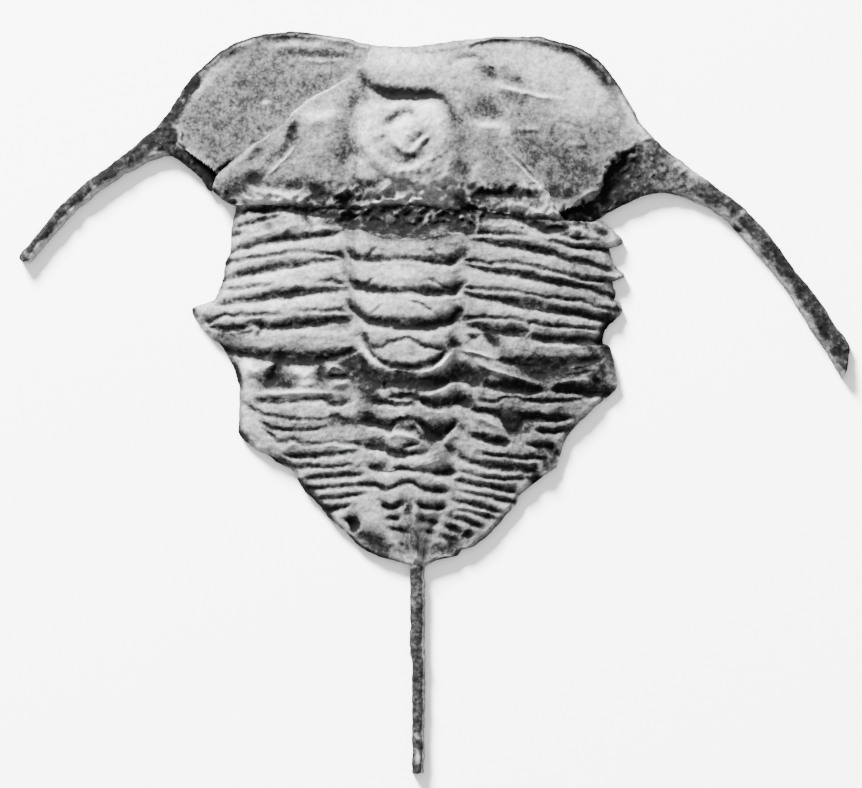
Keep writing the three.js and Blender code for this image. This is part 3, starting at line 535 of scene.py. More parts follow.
# genal spines: change of tone, painted shadow over the outer side, the share of the width that the paler
# inner side takes, and its change there
LEFT_SPINE_TONE = (-0.46, 0.45, 0.14)
RIGHT_SPINE_TONE = (-0.43, 0.42, -0.03)
TAIL_SPINE_TONE = (-0.48, 0.76, -0.08)
# darkening of the furrows, which is painted shade
FURROW_TONE = 0.58
MARK_TONE = 1.3
HEAD_TONES = [
    # the first mark: painted shade in the furrow beside the glabella
    (-0.24, 0.8, [(346, 108), (347, 126), (345, 150), (343, 178)]),
    (-0.44, 0.42, [(383, 129), (391, 121), (399, 115), (411, 112)]),
    (-0.3, 0.3, [(409, 108), (413, 117)]),
    (-0.16, 0.16, [(411, 148), (417, 140), (424, 133)]),
    (-0.1, 0.2, [(418, 152), (425, 146), (433, 138)]),
    (-0.2, 0.3, [(379, 153), (390, 149), (398, 151), (406, 156), (418, 158), (430, 151)]),
    (0.2, 0.16, [(389, 130), (398, 146), (408, 152), (418, 146), (434, 130)]),
    (0.14, 0.22, [(382, 160), (391, 168), (402, 171), (414, 169), (427, 161), (440, 146)]),
    (-0.22, 0.34, [(364, 154), (376, 168), (388, 177), (402, 182), (420, 184)]),
    (0.1, 0.5, [(372, 186), (398, 178), (430, 178)]),
    (-0.16, 0.16, [(370, 128), (376, 146), (388, 158), (404, 164), (424, 160)]),
    (-0.14, 0.16, [(444, 140), (438, 156), (426, 168)]),
    (-0.22, 0.3, [(372, 144), (388, 139)]),
    (0.14, 0.26, [(352, 172), (352, 164), (357, 161), (364, 168)]),
    (-0.1, 0.26, [(350, 173), (358, 183), (366, 192)]),
    (-0.3, 0.5, [(438, 95), (448, 104), (454, 118), (463, 130)]),
    (-0.3, 0.45, [(356, 69), (365, 78), (375, 88)]),
    (-0.2, 0.3, [(380, 92), (410, 94), (440, 96)]),
    (-0.12, 2.2, [(325, 140), (315, 165)]),
    (-0.2, 1.6, [(485, 110), (495, 165)]),
    (-0.06, 0.8, [(464, 122), (466, 150), (466, 180)]),
    (-0.1, 0.75, [(318, 190), (350, 196), (385, 198), (430, 197), (480, 198)]),
    (0.2, 0.7, [(385, 188), (420, 192), (456, 198)]),
    (-0.3, 0.5, [(352, 86), (354, 100), (350, 112)]),
    (-0.3, 0.5, [(358, 146), (360, 164)]),
    (-0.25, 0.4, [(361, 83), (366, 99)]),
    (-0.2, 0.5, [(304, 134), (262, 164)]),
    (-0.3, 0.5, [(365, 191), (385, 177)]),
    (-0.2, 0.5, [(464, 163), (468, 183)]),
    (0.2, 0.35, [(408, 153), (416, 134)]),
    (0.3, 0.4, [(440, 203), (462, 206)]),
    (-0.14, 0.8, [(480, 112), (506, 116)]),
    (-0.3, 0.5, [(479, 66), (500, 77)]),
    (-0.22, 0.2, [(372, 51), (400, 52), (440, 50), (480, 42), (520, 38), (560, 39)]),
    # painted shade under the rear edge of the head beside the neck, and a painted highlight lifting the
    # shadow along its rear left edge
    (-0.5, 0.4, [(314, 201), (334, 203), (354, 205)]),
    (-0.5, 0.4, [(450, 204), (466, 205), (488, 206)]),
    (0.4, 0.35, [(240, 205), (264, 203), (286, 203)]),
    (-0.3, 0.6, [(300, 193), (322, 194), (345, 198)]),
    (0.2, 1.4, [(372, 115), (368, 145), (400, 120), (436, 120), (440, 145)]),
    (0.22, 0.5, [(400, 130), (409, 138)]),
    (0.16, 1.3, [(378, 60), (405, 62), (436, 60)]),
    (0.18, 0.6, [(306, 118), (340, 117)]),
    (0.34, 0.6, [(476, 127), (492, 127), (508, 132)]),
    (-0.2, 0.18, [(447, 68), (455, 59), (467, 55), (479, 57), (487, 65)]),
    # the next four: painted highlights along the ridges by the sutures
    (0.2, 0.16, [(362, 68), (342, 82), (314, 98), (287, 118), (260, 140), (237, 161), (215, 178)]),
    (0.16, 0.14, [(302, 138), (278, 166), (257, 187)]),
    (0.2, 0.15, [(494, 141), (512, 159), (530, 178), (556, 204)]),
    (0.1, 0.12, [(510, 148), (526, 165), (542, 182)]),
    (-0.2, 0.5, [(508, 150), (530, 170), (546, 183)]),
    (-0.16, 0.4, [(299, 120), (288, 144)]),
    (-0.34, 0.9, [(264, 174), (246, 182), (228, 192)]),
    (-0.25, 0.5, [(215, 186), (232, 200)]),
    (0.2, 0.3, [(262, 193), (290, 195), (312, 197)]),
    (-0.2, 0.4, [(480, 203), (500, 199), (540, 203), (556, 200)]),
    (-0.14, 1.0, [(475, 104), (492, 108)]),
    (-0.16, 1.0, [(320, 178), (300, 186), (275, 186)]),
    (-0.2, 0.8, [(470, 192), (505, 193)]),
    (0.35, 0.16, [(356, 204), (380, 203), (403, 203), (425, 204), (448, 209)]),
]
LEFT_CHEEK_TONES = [
    (-0.22, 5.0, [(170, 160), (220, 125), (265, 90), (320, 60)]),
    # painted shadow along the outer rim
    (-0.9, 0.44, [(246, 38), (232, 43), (219, 50), (206, 60), (196, 70), (188, 81), (181, 93), (172, 107),
                  (162, 120), (150, 132)]),
    (-0.35, 0.3, [(246, 39), (268, 35), (298, 34), (326, 38)]),
    (-0.2, 0.3, [(278, 49), (302, 51), (319, 53), (342, 54), (366, 58)]),
    (-0.14, 1.0, [(334, 78), (308, 94)]),
    (-0.16, 0.8, [(210, 163), (228, 174)]),
    # this mark: painted highlight on the slope just inside the rim
    (0.26, 0.3, [(240, 54), (222, 64), (205, 82), (190, 102)]),
    (0.14, 0.25, [(262, 46), (300, 42), (340, 44)]),
    (0.3, 0.16, [(174, 114), (171, 122), (177, 129), (179, 137), (177, 145), (186, 151)]),
    (0.25, 0.2, [(265, 103), (269, 103)]),
    (-0.4, 0.35, [(172, 152), (186, 165), (200, 178), (214, 188), (228, 200)]),
    (-0.35, 0.25, [(215, 175), (224, 168), (233, 161)]),
    (0.15, 0.25, [(24, 254), (27, 258)]),
]
RIGHT_CHEEK_TONES = [
    (0.14, 2.2, [(530, 60), (575, 85), (610, 115)]),
    # painted shadow along the outer rim
    (-0.8, 0.5, [(534, 39), (556, 41), (572, 45), (587, 54), (601, 67), (613, 85), (621, 102)]),
    (-0.2, 0.18, [(447, 68), (455, 59), (467, 55), (479, 57), (487, 65)]),
    (-0.3, 0.26, [(470, 41), (500, 39), (530, 38), (556, 41)]),
    (-0.2, 0.5, [(505, 76), (522, 82)]),
    (-0.22, 0.36, [(487, 65), (492, 70), (496, 76)]),
    (0.2, 0.22, [(486, 82), (520, 92), (567, 99)]),
    (-0.06, 0.6, [(500, 99), (532, 105)]),
    (0.14, 0.5, [(531, 129), (539, 134)]),
    (-0.26, 3.4, [(520, 120), (560, 165), (595, 150)]),
    (0.14, 0.8, [(632, 126), (645, 140)]),
    (-0.26, 0.42, [(546, 192), (560, 193), (576, 196)]),
    (0.3, 0.2, [(588, 199), (596, 197), (604, 194)]),
    (-0.18, 1.4, [(625, 165), (614, 190), (606, 205)]),
    (0.25, 0.35, [(668, 156), (684, 166), (706, 182)]),
    (-0.12, 0.35, [(755, 228), (790, 270), (826, 325)]),
    (-0.3, 0.2, [(736, 226), (742, 231)]),
    (0.18, 0.16, [(736, 221), (748, 208)]),
    (-0.25, 0.3, [(842, 350), (843, 366)]),
    (-0.24, 0.5, [(818, 326), (834, 348), (846, 372)]),
]
THORAX_TONES = [
    (0.2, 0.3, [(359, 345), (367, 356), (376, 366)]),
    (0.16, 0.26, [(456, 350), (446, 359), (434, 368)]),
    # the next three: painted shade in the neck hollow and under the rear edge of the head
    (-0.18, 1.0, [(340, 222), (380, 222), (430, 224), (470, 222)]),
    (-0.34, 0.6, [(298, 208), (322, 209), (338, 214), (350, 228)]),
    (-0.45, 0.6, [(460, 220), (470, 210), (490, 210), (516, 215)]),
    (-0.2, 0.3, [(266, 222), (272, 230)]),
    (-0.24, 0.34, [(303, 218), (312, 225)]),
    (-0.2, 0.3, [(322, 222), (333, 224)]),
    (-0.3, 0.4, [(235, 369), (238, 379)]),
    (-0.36, 0.5, [(283, 358), (278, 368), (272, 379), (262, 390)]),
    (-0.25, 0.36, [(322, 364), (321, 378)]),
    (-0.3, 0.26, [(326, 378), (338, 377), (350, 376)]),
    (-0.14, 0.3, [(281, 384), (293, 387)]),
    (-0.5, 0.7, [(350, 358), (360, 372), (366, 388), (372, 402)]),
    # furrows beside the axis: painted shade in them, and painted light on the shaded right ends of the rings
    (-0.16, 0.42, [(346, 236), (347, 262), (349, 290), (351, 322)]),
    (-0.16, 0.42, [(469, 236), (468, 262), (466, 290), (464, 322)]),
    (0.3, 0.45, [(444, 279), (458, 280), (466, 275), (474, 269)]),
    (0.4, 0.4, [(442, 310), (452, 307), (460, 300)]),
    (0.15, 0.5, [(472, 280), (494, 285)]),
    # darker patches; those under the rear edge of the head, in the neck hollow and at the right margin are
    # painted shade
    (-0.35, 0.3, [(455, 322), (467, 316)]),
    (-0.3, 0.4, [(339, 324), (353, 317)]),
    (-0.25, 0.35, [(266, 294), (302, 294)]),
    (-0.25, 0.5, [(213, 293), (220, 268), (226, 250)]),
    (-0.35, 0.4, [(468, 393), (472, 405)]),
    (-0.2, 0.4, [(410, 386), (462, 380)]),
    (-0.35, 0.3, [(349, 418), (359, 424)]),
    (-0.3, 0.35, [(538, 372), (584, 364)]),
    (-0.3, 0.35, [(445, 446), (463, 451)]),
    (-0.45, 0.35, [(553, 452), (544, 472)]),
    (-0.3, 0.3, [(607, 320), (604, 340)]),
    (-0.35, 0.35, [(235, 427), (249, 443)]),
    (-0.5, 0.35, [(356, 232), (380, 236), (410, 237), (440, 237), (462, 232)]),
    (-0.3, 0.5, [(471, 217), (481, 226)]),
    (-0.4, 0.4, [(210, 332), (230, 336), (252, 330)]),
    (-0.3, 0.3, [(189, 305), (199, 317)]),
    (-0.5, 0.45, [(484, 333), (494, 340), (500, 348)]),
    (-0.3, 0.35, [(508, 334), (530, 336)]),
    (-0.4, 0.4, [(444, 346), (466, 342)]),
    (-0.35, 0.35, [(364, 333), (373, 351)]),
    (-0.16, 0.4, [(300, 328), (350, 323)]),
    (-0.35, 0.4, [(331, 361), (346, 368), (357, 390)]),
    (-0.3, 0.4, [(398, 372), (417, 372)]),
    (-0.35, 0.4, [(414, 384), (416, 404)]),
    (-0.35, 0.4, [(485, 364), (482, 392)]),
    (-0.35, 0.3, [(326, 421), (354, 423)]),
    (-0.4, 0.35, [(416, 431), (437, 445)]),
    (-0.35, 0.35, [(454, 424), (466, 428)]),
    (-0.5, 0.45, [(510, 432), (522, 428), (531, 419)]),
    (-0.6, 0.4, [(540, 452), (556, 452)]),
    (-0.4, 0.35, [(578, 341), (598, 351)]),
    (-0.35, 0.35, [(583, 225), (614, 235)]),
    (-0.2, 0.35, [(560, 262), (602, 270)]),
    (-0.3, 0.35, [(384, 459), (386, 474)]),
    # places made lighter and darker; the darkening under the rear edge of the head and in the wide fifth seam
    # on the right is painted shade
    (0.2, 0.3, [(326, 398), (342, 398)]),
    (0.24, 0.5, [(412, 466), (444, 461)]),
    (0.2, 0.3, [(527, 441), (541, 438)]),
    (0.15, 0.4, [(518, 406), (562, 412)]),
    (0.15, 0.4, [(484, 428), (499, 434)]),
    (0.15, 0.3, [(570, 278), (602, 282)]),
    (0.15, 0.3, [(333, 346), (351, 348)]),
    (-0.2, 0.16, [(256, 338), (264, 325)]),
    (-0.34, 1.1, [(262, 379), (335, 375)]),
    (0.1, 3.0, [(250, 270), (300, 300), (320, 320)]),
    (0.1, 1.8, [(405, 250), (408, 330)]),
    (-0.2, 0.4, [(376, 390), (396, 392), (418, 391)]),
    (-0.4, 0.26, [(388, 426), (398, 422), (410, 422), (420, 427)]),
    (-0.2, 0.5, [(372, 382), (374, 398)]),
    (-0.2, 2.6, [(500, 400), (560, 400), (520, 440)]),
    (-0.4, 0.9, [(515, 366), (550, 367), (590, 364)]),
    (-0.06, 0.5, [(500, 378), (540, 385), (600, 379)]),
    (-0.25, 0.6, [(330, 205), (345, 220)]),
    (-0.25, 0.6, [(478, 212), (500, 215)]),
    (-0.16, 2.0, [(560, 290), (600, 290)]),
    (-0.2, 0.5, [(462, 368), (484, 377)]),
    (0.34, 0.55, [(248, 367), (255, 374)]),
    (0.36, 0.6, [(292, 371), (306, 375), (304, 386)]),
    (0.3, 0.3, [(250, 393), (290, 394), (335, 394)]),
    # half filled furrows on the left
    (0.06, 0.3, [(254, 400), (300, 400), (345, 400)]),
    (0.1, 0.26, [(252, 407), (280, 415), (320, 418), (346, 419)]),
    (0.1, 0.26, [(264, 423), (300, 429), (330, 426)]),
    (0.12, 0.26, [(264, 430), (282, 441), (322, 443), (364, 444)]),
    (-0.14, 1.0, [(268, 422), (300, 422), (334, 422)]),
    # the next two: painted shade along the right margin, which slopes away from the light
    (-0.34, 0.7, [(604, 340), (609, 356), (602, 372), (606, 392)]),
    (-0.36, 0.34, [(618, 296), (616, 308), (609, 322), (606, 336), (606, 350)]),
    (-0.3, 0.3, [(225, 345), (232, 358), (235, 372), (238, 386)]),
]
TAIL_TONES = [
    (-0.36, 0.6, [(348, 524), (358, 533), (369, 541), (380, 549), (394, 558)]),
    (-0.14, 1.1, [(406, 508), (410, 535), (412, 560)]),
    (-0.16, 0.6, [(430, 552), (445, 549), (460, 542)]),
    (-0.3, 0.4, [(352, 517), (357, 527)]),
    (-0.9, 0.36, [(296, 476), (301, 484), (319, 506), (336, 525)]),
    (-0.35, 0.26, [(337, 527), (353, 542), (369, 552), (390, 560), (408, 564)]),
    (-0.3, 0.3, [(409, 496), (410, 517)]),
    (-0.25, 0.35, [(447, 492), (459, 482)]),
    (-0.3, 0.5, [(371, 531), (387, 541)]),
    (-0.3, 0.3, [(518, 476), (536, 478)]),
    # painted highlight on the shaded side of the keel
    (0.3, 0.35, [(425, 519), (424, 546)]),
    (0.15, 0.5, [(464, 518), (483, 512)]),
    (-0.22, 0.35, [(411, 512), (413, 535), (415, 560)]),
    (-0.2, 1.3, [(445, 550), (470, 534)]),
    (-0.3, 0.4, [(538, 474), (534, 484)]),
    (0.45, 0.18, [(416, 748), (419, 766)]),
    (0.3, 0.12, [(414, 735), (420, 741)]),
    (0.18, 0.12, [(412, 600), (415, 612)]),
]


def mix(a, b, t):
    return a + (b - a) * t


def clamp01(t):
    return np.clip(t, 0.0, 1.0)


def smooth(t):
    t = clamp01(t)
    return t * t * (3 - 2 * t)


def bump(d, width):
    return np.exp(-((d / width) ** 2))


def dome(d):
    return np.sqrt(np.clip(1 - d * d, 0.0, None))


def on_stone(dots):
    """Picture dots as plan places in mm."""
    dots = np.array(dots, float)
    return (dots - ORIGIN_DOT) * (1, -1) / DOTS_PER_MM


class Line:
    """A smooth function through (at, value) pairs that never overshoots them, straight on past both ends."""

    def __init__(self, pairs):
        pairs = sorted(pairs)
        self.at = np.array([p[0] for p in pairs], float)
        self.value = np.array([p[1] for p in pairs], float)
        step = np.diff(self.at)
        slope = np.diff(self.value) / step
        self.step = step
        self.tangent = np.concatenate(([slope[0]], np.zeros(len(slope) - 1), [slope[-1]]))
        same = slope[:-1] * slope[1:] > 0
        total = np.where(same, slope[:-1] + slope[1:], 1.0)
        self.tangent[1:-1] = np.where(same, 2 * slope[:-1] * slope[1:] / total, 0.0)

    def __call__(self, at):
        at = np.asarray(at, float)
        i = np.clip(np.searchsorted(self.at, at) - 1, 0, len(self.step) - 1)
        h = self.step[i]
        t = (at - self.at[i]) / h
        inside = np.clip(t, 0, 1)
        a, b = self.value[i], self.value[i + 1]
        p, q = h * self.tangent[i], h * self.tangent[i + 1]
        curve = a + p * inside + (3 * (b - a) - 2 * p - q) * inside**2 + (2 * (a - b) + p + q) * inside**3
        return curve + np.where(t < 0, t * p, 0) + np.where(t > 1, (t - 1) * q, 0)


def distance_to(x, y, places):
    """Distance of each point from the open line through places, and of its nearest place on the line from
    the nearer end of the line."""
    nearest, from_end = np.full(x.shape, np.inf), np.zeros(x.shape)
    lengths = np.hypot(*np.diff(places, axis=0).T)
    reached = np.concatenate(([0], np.cumsum(lengths)))
    for a, b, length, start in zip(places[:-1], places[1:], lengths, reached):
        along = b - a
        t = clamp01(((x - a[0]) * along[0] + (y - a[1]) * along[1]) / length**2)
        d = np.hypot(x - a[0] - t * along[0], y - a[1] - t * along[1])
        closer = d < nearest
        nearest = np.where(closer, d, nearest)
        place = start + t * length
        from_end = np.where(closer, np.minimum(place, reached[-1] - place), from_end)
    return nearest, from_end


def add_marks(x, y, marks):
    """Sum of marks at each point, worked out only near each one. Each mark fades towards its ends."""
    total = np.zeros(x.shape)
    for amount, width, dots in marks:
        places = on_stone(dots)
        if len(places) > 2:
            places = spline(places, np.linspace(0, 1, 4 * len(places) - 3))
        length = np.hypot(*np.diff(places, axis=0).T).sum()
        reach = 2.6 * width
        low, high = places.min(0) - reach, places.max(0) + reach
        near = (x > low[0]) & (x < high[0]) & (y > low[1]) & (y < high[1])
        if near.any():
            nearest, from_end = distance_to(x[near], y[near], places)
            fade = smooth((from_end + 1.2 * width) / (TAPER * length + 1.2 * width))
            total[near] += amount * bump(nearest, width) * fade
    return total


def cut_furrows(x, y, furrows):
    """Depth of the furrows at each point, and the painted shade that each point gets in and before them, from
    0 to 1.
    """
    depth, inside = np.zeros(x.shape), np.zeros(x.shape)
    x = x + 0.08 * middling(x + 90, y) + 0.04 * fine(x + 90, y)
    y = y + 0.05 * middling(x + 95, y) + 0.03 * fine(x + 95, y)
    for stations in furrows:
        dots_x, fronts, rears = np.array(stations, float).T
        along = (dots_x - ORIGIN_DOT[0]) / DOTS_PER_MM
        front_y, rear_y = ((ORIGIN_DOT[1] - edge) / DOTS_PER_MM for edge in (fronts, rears))
        widest = max(NARROWEST, (front_y - rear_y).max())
        near = ((x > along[0] - 0.4) & (x < along[-1] + 0.4)
                & (y > rear_y.min() - 1.3) & (y < front_y.max() + TAIL_OF_SLOPE * widest))
        if not near.any():
            continue
        px, py = x[near], y[near]
        front, rear = Line(list(zip(along, front_y)))(px), Line(list(zip(along, rear_y)))(px)
        width = np.maximum(front - rear, 0.05)
        soft = np.maximum(width, NARROWEST)
        behind = py - rear
        t = behind / soft
        wide = smooth((width - 0.4) / 0.6)
        end_reach = 0.95 + 0.4 * wide
        ends = smooth((px - along[0] + 0.35) / end_reach) * smooth((along[-1] + 0.35 - px) / end_reach)
        wall = 0.55 * smooth((behind + 0.22 + 0.1 * wide) / (0.36 + 0.3 * wide))
        wall = wall + 0.45 * np.exp(np.minimum(behind, 0) / 0.38)
        core = wall * (1 - smooth((t - 0.2) / 1.1)) * ends
        lean = wall * (1 - smooth(t / TAIL_OF_SLOPE)) * ends
        # painted shade inside the furrow, fading at its rear and front edges and at its ends
        rear_fade = smooth((behind + 0.14 + 0.03 * wide) / 0.27)
        painted_shade = rear_fade * smooth((front - py + 0.36) / (0.68 + 0.34 * wide)) * ends
        scale = np.minimum(FURROW_DEPTH * soft, DEEPEST) * smooth(0.35 + 0.65 * width / NARROWEST)
        depth[near] = np.maximum(depth[near], scale * (0.62 * core + 0.38 * lean))
        # painted shade on the ground that leans into the furrow
        ahead = 0.28 * wall * (1 - smooth(behind / (width + 0.4 + 0.9 * soft))) * ends
        shade = painted_shade * (0.5 + 0.4 * smooth(width / WIDE_FURROW) + 0.26 * wide)
        inside[near] = np.maximum(inside[near], shade + ahead * np.maximum(0, 1 - shade))
    return depth, inside


def beside(x, y, dots):
    """Signed distance from a line: positive on its left, seen along it."""
    places = on_stone(dots)
    nearest, sign = np.full(x.shape, np.inf), np.ones(x.shape)
    for a, b in zip(places[:-1], places[1:]):
        along = b - a
        t = clamp01(((x - a[0]) * along[0] + (y - a[1]) * along[1]) / (along @ along))
        d = np.hypot(x - a[0] - t * along[0], y - a[1] - t * along[1])
        turn = along[0] * (y - a[1]) - along[1] * (x - a[0])
        closer = d < nearest
        sign = np.where(closer, np.where(turn > 0, 1.0, -1.0), sign)
        nearest = np.minimum(nearest, d)
    return nearest * sign


class Crumple:
    """Smooth random relief with cells of a given size in mm, the same on each run."""

    def __init__(self, cell, seed):
        self.cell = cell
        self.values = np.random.default_rng(seed).uniform(-1, 1, (257, 257))

    def __call__(self, x, y):
        p = (GRAIN_TURN[0] * x + GRAIN_TURN[1] * y) / self.cell + 1000.37
        q = (GRAIN_TURN[0] * y - GRAIN_TURN[1] * x) / self.cell + 1000.71
        i, j = np.floor(p).astype(int), np.floor(q).astype(int)
        s, t = smooth(p - i), smooth(q - j)
        i, j = i % 256, j % 256
        v = self.values
        return mix(mix(v[i, j], v[i + 1, j], s), mix(v[i, j + 1], v[i + 1, j + 1], s), t)


broad = Crumple(2.3, RNG_SEED)
middling = Crumple(0.8, RNG_SEED + 1)
fine = Crumple(0.3, RNG_SEED + 2)

left_suture, right_suture = Line(LEFT_SUTURE), Line(RIGHT_SUTURE)
glabella_left, glabella_right = Line(GLABELLA_LEFT), Line(GLABELLA_RIGHT)
body_left, body_right = Line(BODY_LEFT), Line(BODY_RIGHT)
axis_left, axis_right = Line(AXIS_LEFT), Line(AXIS_RIGHT)
field_height = Line(FIELD)
cranidium_front = Line(CRANIDIUM_FRONT)


def seam_line(heights, crown):
    line = Line(list(zip(STATIONS, heights)))
    arch = crown - float(line(CROWN_X))
    reach = ARCH_REACH * (AXIS_STATIONS[1] - AXIS_STATIONS[0]) / 2
    return lambda x: line(x) + arch * np.clip(1 - ((x - CROWN_X) / reach) ** 2, 0, None)


seams = [seam_line(*seam) for seam in SEAMS]


def roughness(x, y, amount=1.0):
    return amount * (0.05 * broad(x, y) + 0.05 * middling(x, y) + 0.032 * fine(x, y))


def streaks(x, y):
    """Long low wrinkles that follow the ribs, from -1 to 1."""
    return 0.6 * middling(0.3 * x, 1.5 * y + 60) + 0.4 * fine(0.3 * x + 9, y)


# Relief, in mm

def head_height(x, y):
    q = np.hypot((x - HEAD_CENTRE[0]) / HEAD_REACH[0], (y - HEAD_CENTRE[1]) / HEAD_REACH[1])
    dome_ = EDGE_THICKNESS + 0.1 + HEAD_RISE * (1 - np.minimum(1, q) ** 2)
    furrows, _ = cut_furrows(x, y, HEAD_FURROWS)
    shallow, _ = cut_furrows(x, y, HEAD_SHALLOW_FURROWS)
    pitted = 0.05 * np.minimum(0, fine(x + 31, y) * middling(x, y + 31))
    return dome_ - furrows - 0.4 * shallow + add_marks(x, y, HEAD_MARKS) + roughness(x, y) + pitted


def cranidium_height(x, y):
    left_flank = smooth((x - glabella_left(y) + 0.5) / 1.5)
    right_flank = smooth((glabella_right(y) - x + 0.6) / 1.9)
    along = smooth((GLABELLA_FRONT + 0.1 - y) / 1.0)
    across = (x - GLABELLA_CENTRE[0]) / 4.2
    fore = (y - GLABELLA_CENTRE[1]) / np.where(y > GLABELLA_CENTRE[1], 3.6, 5.2)
    crown = 0.38 + 0.58 * (1 - np.minimum(1, across**2 + fore**2))
    boss = 0.3 * bump(np.hypot((x - BOSS[0]) / 0.8, (y - BOSS[1]) / 1.15), 1.0)
    moat = 0.15 * bump(np.hypot((x - BOSS[0]) / 0.85, (y - BOSS[1]) / 1.1) - 1.75, 0.55)
    outer = np.hypot((x - BOSS[0]) / 0.9, (y - BOSS[1]) / 1.1) - 3.6
    outer_moat = 0.14 * bump(outer, 0.5) * smooth((11.4 - y) / 1.5)
    glabella = left_flank * right_flank * along * (GLABELLA_HEIGHT * crown + boss - moat - outer_moat)
    crumpled = 0.07 * left_flank * right_flank * along * (middling(x + 70, y) + 0.6 * fine(x + 70, y))
    step = 0.16 * (1 - smooth((x - left_suture(y)) / 1.6)) * smooth((17.4 - y) / 1.0)
    on_neck = smooth((NECK_HALF_WIDTH + 0.4 - np.abs(x - NECK_MIDDLE)) / 1.6)
    rear_fall = 0.85 * on_neck * smooth((8.7 - y) / 2.0)
    broken_rear = smooth((8.8 - y) / 1.2) * (0.22 * middling(x + 3, y) + 0.16 * fine(x + 3, y)) - rear_fall
    lip = add_marks(x + 0.15 * fine(x, y), y + 0.15 * fine(x, y + 3), NECK_LIP)
    edge = 0.22 * (1 - smooth((cranidium_front(x) - y) / 0.5))
    rear_edge = 0.4 * (1 - smooth((y - seams[0](x) - 0.1 * middling(x, y)) / 0.4))
    return head_height(x, y) + glabella + crumpled + step + broken_rear + lip - edge - rear_edge


def back_surface(x, y):
    """Height of the back before its segments are cut into it, and the place across the axis."""
    left, right = axis_left(y), axis_right(y)
    centre = (left + right) / 2
    half = np.maximum(0.35, (right - left) / 2)
    plate_y = np.clip(y, -18.7, 6.0)
    margin = np.where(x < centre, body_left(plate_y), body_right(plate_y))
    reach = np.maximum(1, np.abs(margin - centre) - half)
    across = np.abs(x - centre) / half
    outward = clamp01((np.abs(x - centre) - half) / reach)
    field = mix(field_height(y), EDGE_THICKNESS, outward**2.2)
    swell = np.clip(1 - (across / RING_SPREAD) ** 2, 0, None) ** 1.5
    ring = RING_HEIGHT * (field_height(y) / FIELD_HEIGHT) * swell
    furrow = 0.14 * bump(np.abs(x - centre) - 1.02 * half, 0.6)
    return field + ring - furrow, across


def neck_hollow(x, y):
    """1 where the ring of the first segment is lost, 0 outside."""
    from_middle = np.abs(x - NECK_MIDDLE + 0.5 * middling(x + 2, y + 2) + 0.3 * fine(x, y))
    rear = seams[1](x) + 0.15 * middling(x + 33, y)
    sides = smooth((NECK_HALF_WIDTH + 0.5 - from_middle) / 2.4)
    return sides * smooth((seams[0](x) + 0.3 - y) / 0.3) * smooth((y - rear + 0.2) / 1.3)


def segment_height(number):
    def height(x, y):
        z, across = back_surface(x, y)
        furrows, _ = cut_furrows(x, y, THORAX_FURROWS)
        on_axis = smooth(2 * (1 - np.minimum(1, across) ** 2))
        rubble = 0.3 * middling(x + 9, y) + 0.2 * fine(x + 9, y)
        hollow = neck_hollow(x, y) * (NECK_HOLLOW - 0.25 + 0.45 * rubble) * (number == 1)
        broken = 0.1 * middling(x + 12, y) + 0.12 * fine(x + 12, y)
        hollow = hollow + smooth(3 * neck_hollow(x, y)) * broken * (number == 1)
        margin = np.minimum(x - body_left(y), body_right(y) - x)
        ragged = 0.3 * (1 - smooth(margin / 0.6))
        crumpled = 0.22 * bump(distance_to(x, y, on_stone(LOST_GROUND))[0], 1.1)
        rough = roughness(x, y) + crumpled * middling(x + 5, y) + 0.05 * streaks(x, y)
        under_head = smooth((y - seams[1](x) - 0.5) / 1.0) * (number == 1)
        rough = rough + under_head * (0.1 * middling(x + 7, y) + 0.1 * fine(x + 7, y))
        marks = add_marks(x, y, THORAX_MARKS)
        ring_top = 0.1 * on_axis
        return np.maximum(THINNEST_SEGMENT, z + ring_top + rough + marks - furrows - hollow - ragged)

    return height


def tail_height(x, y):
    z, _ = back_surface(x, y)
    furrows, _ = cut_furrows(x, y, TAIL_FURROWS + THORAX_FURROWS)
    behind = seams[-1](x) - y
    margin = np.minimum(x - body_left(y), body_right(y) - x)
    keel = 0.3 * bump(x - 0.45 - 0.02 * (y + 14), 0.35) * smooth((-14.2 - y) / 1.2)
    border = 0.3 * (1 - smooth(margin / 0.5))
    rough = roughness(x, y, 0.8) + 0.05 * streaks(x, y)
    plate = z + keel - border - furrows + add_marks(x, y, TAIL_MARKS) + rough
    width = body_right(y) - body_left(y)
    round_ = dome((x - body_left(y) - width / 2) / (width / 2 + 0.05))
    spine = SPINE_HEIGHT * (0.45 + 0.55 * round_) + 0.06 * middling(x, y) + 0.03 * fine(x, y)
    on_spine = smooth((-18.4 - y) / 0.7)
    return mix(np.maximum(THINNEST_TAIL, plate), spine, on_spine)


# Meshes

def deselect_everything():
    for obj in bpy.context.selected_objects:
        obj.select_set(False)


def add_sheet(name, cells):
    """A flat grid, ready to be laid to a plate's shape, with its vertices' places across and along it."""
    deselect_everything()
    bpy.ops.mesh.primitive_grid_add(x_subdivisions=cells[0], y_subdivisions=cells[1], size=2)
    sheet = bpy.context.active_object
    sheet.name = sheet.data.name = name
    flat = np.empty(len(sheet.data.vertices) * 3)
    sheet.data.vertices.foreach_get("co", flat)
    u, v, _ = ((flat.reshape(-1, 3) + 1) / 2).T
    return sheet, u, v


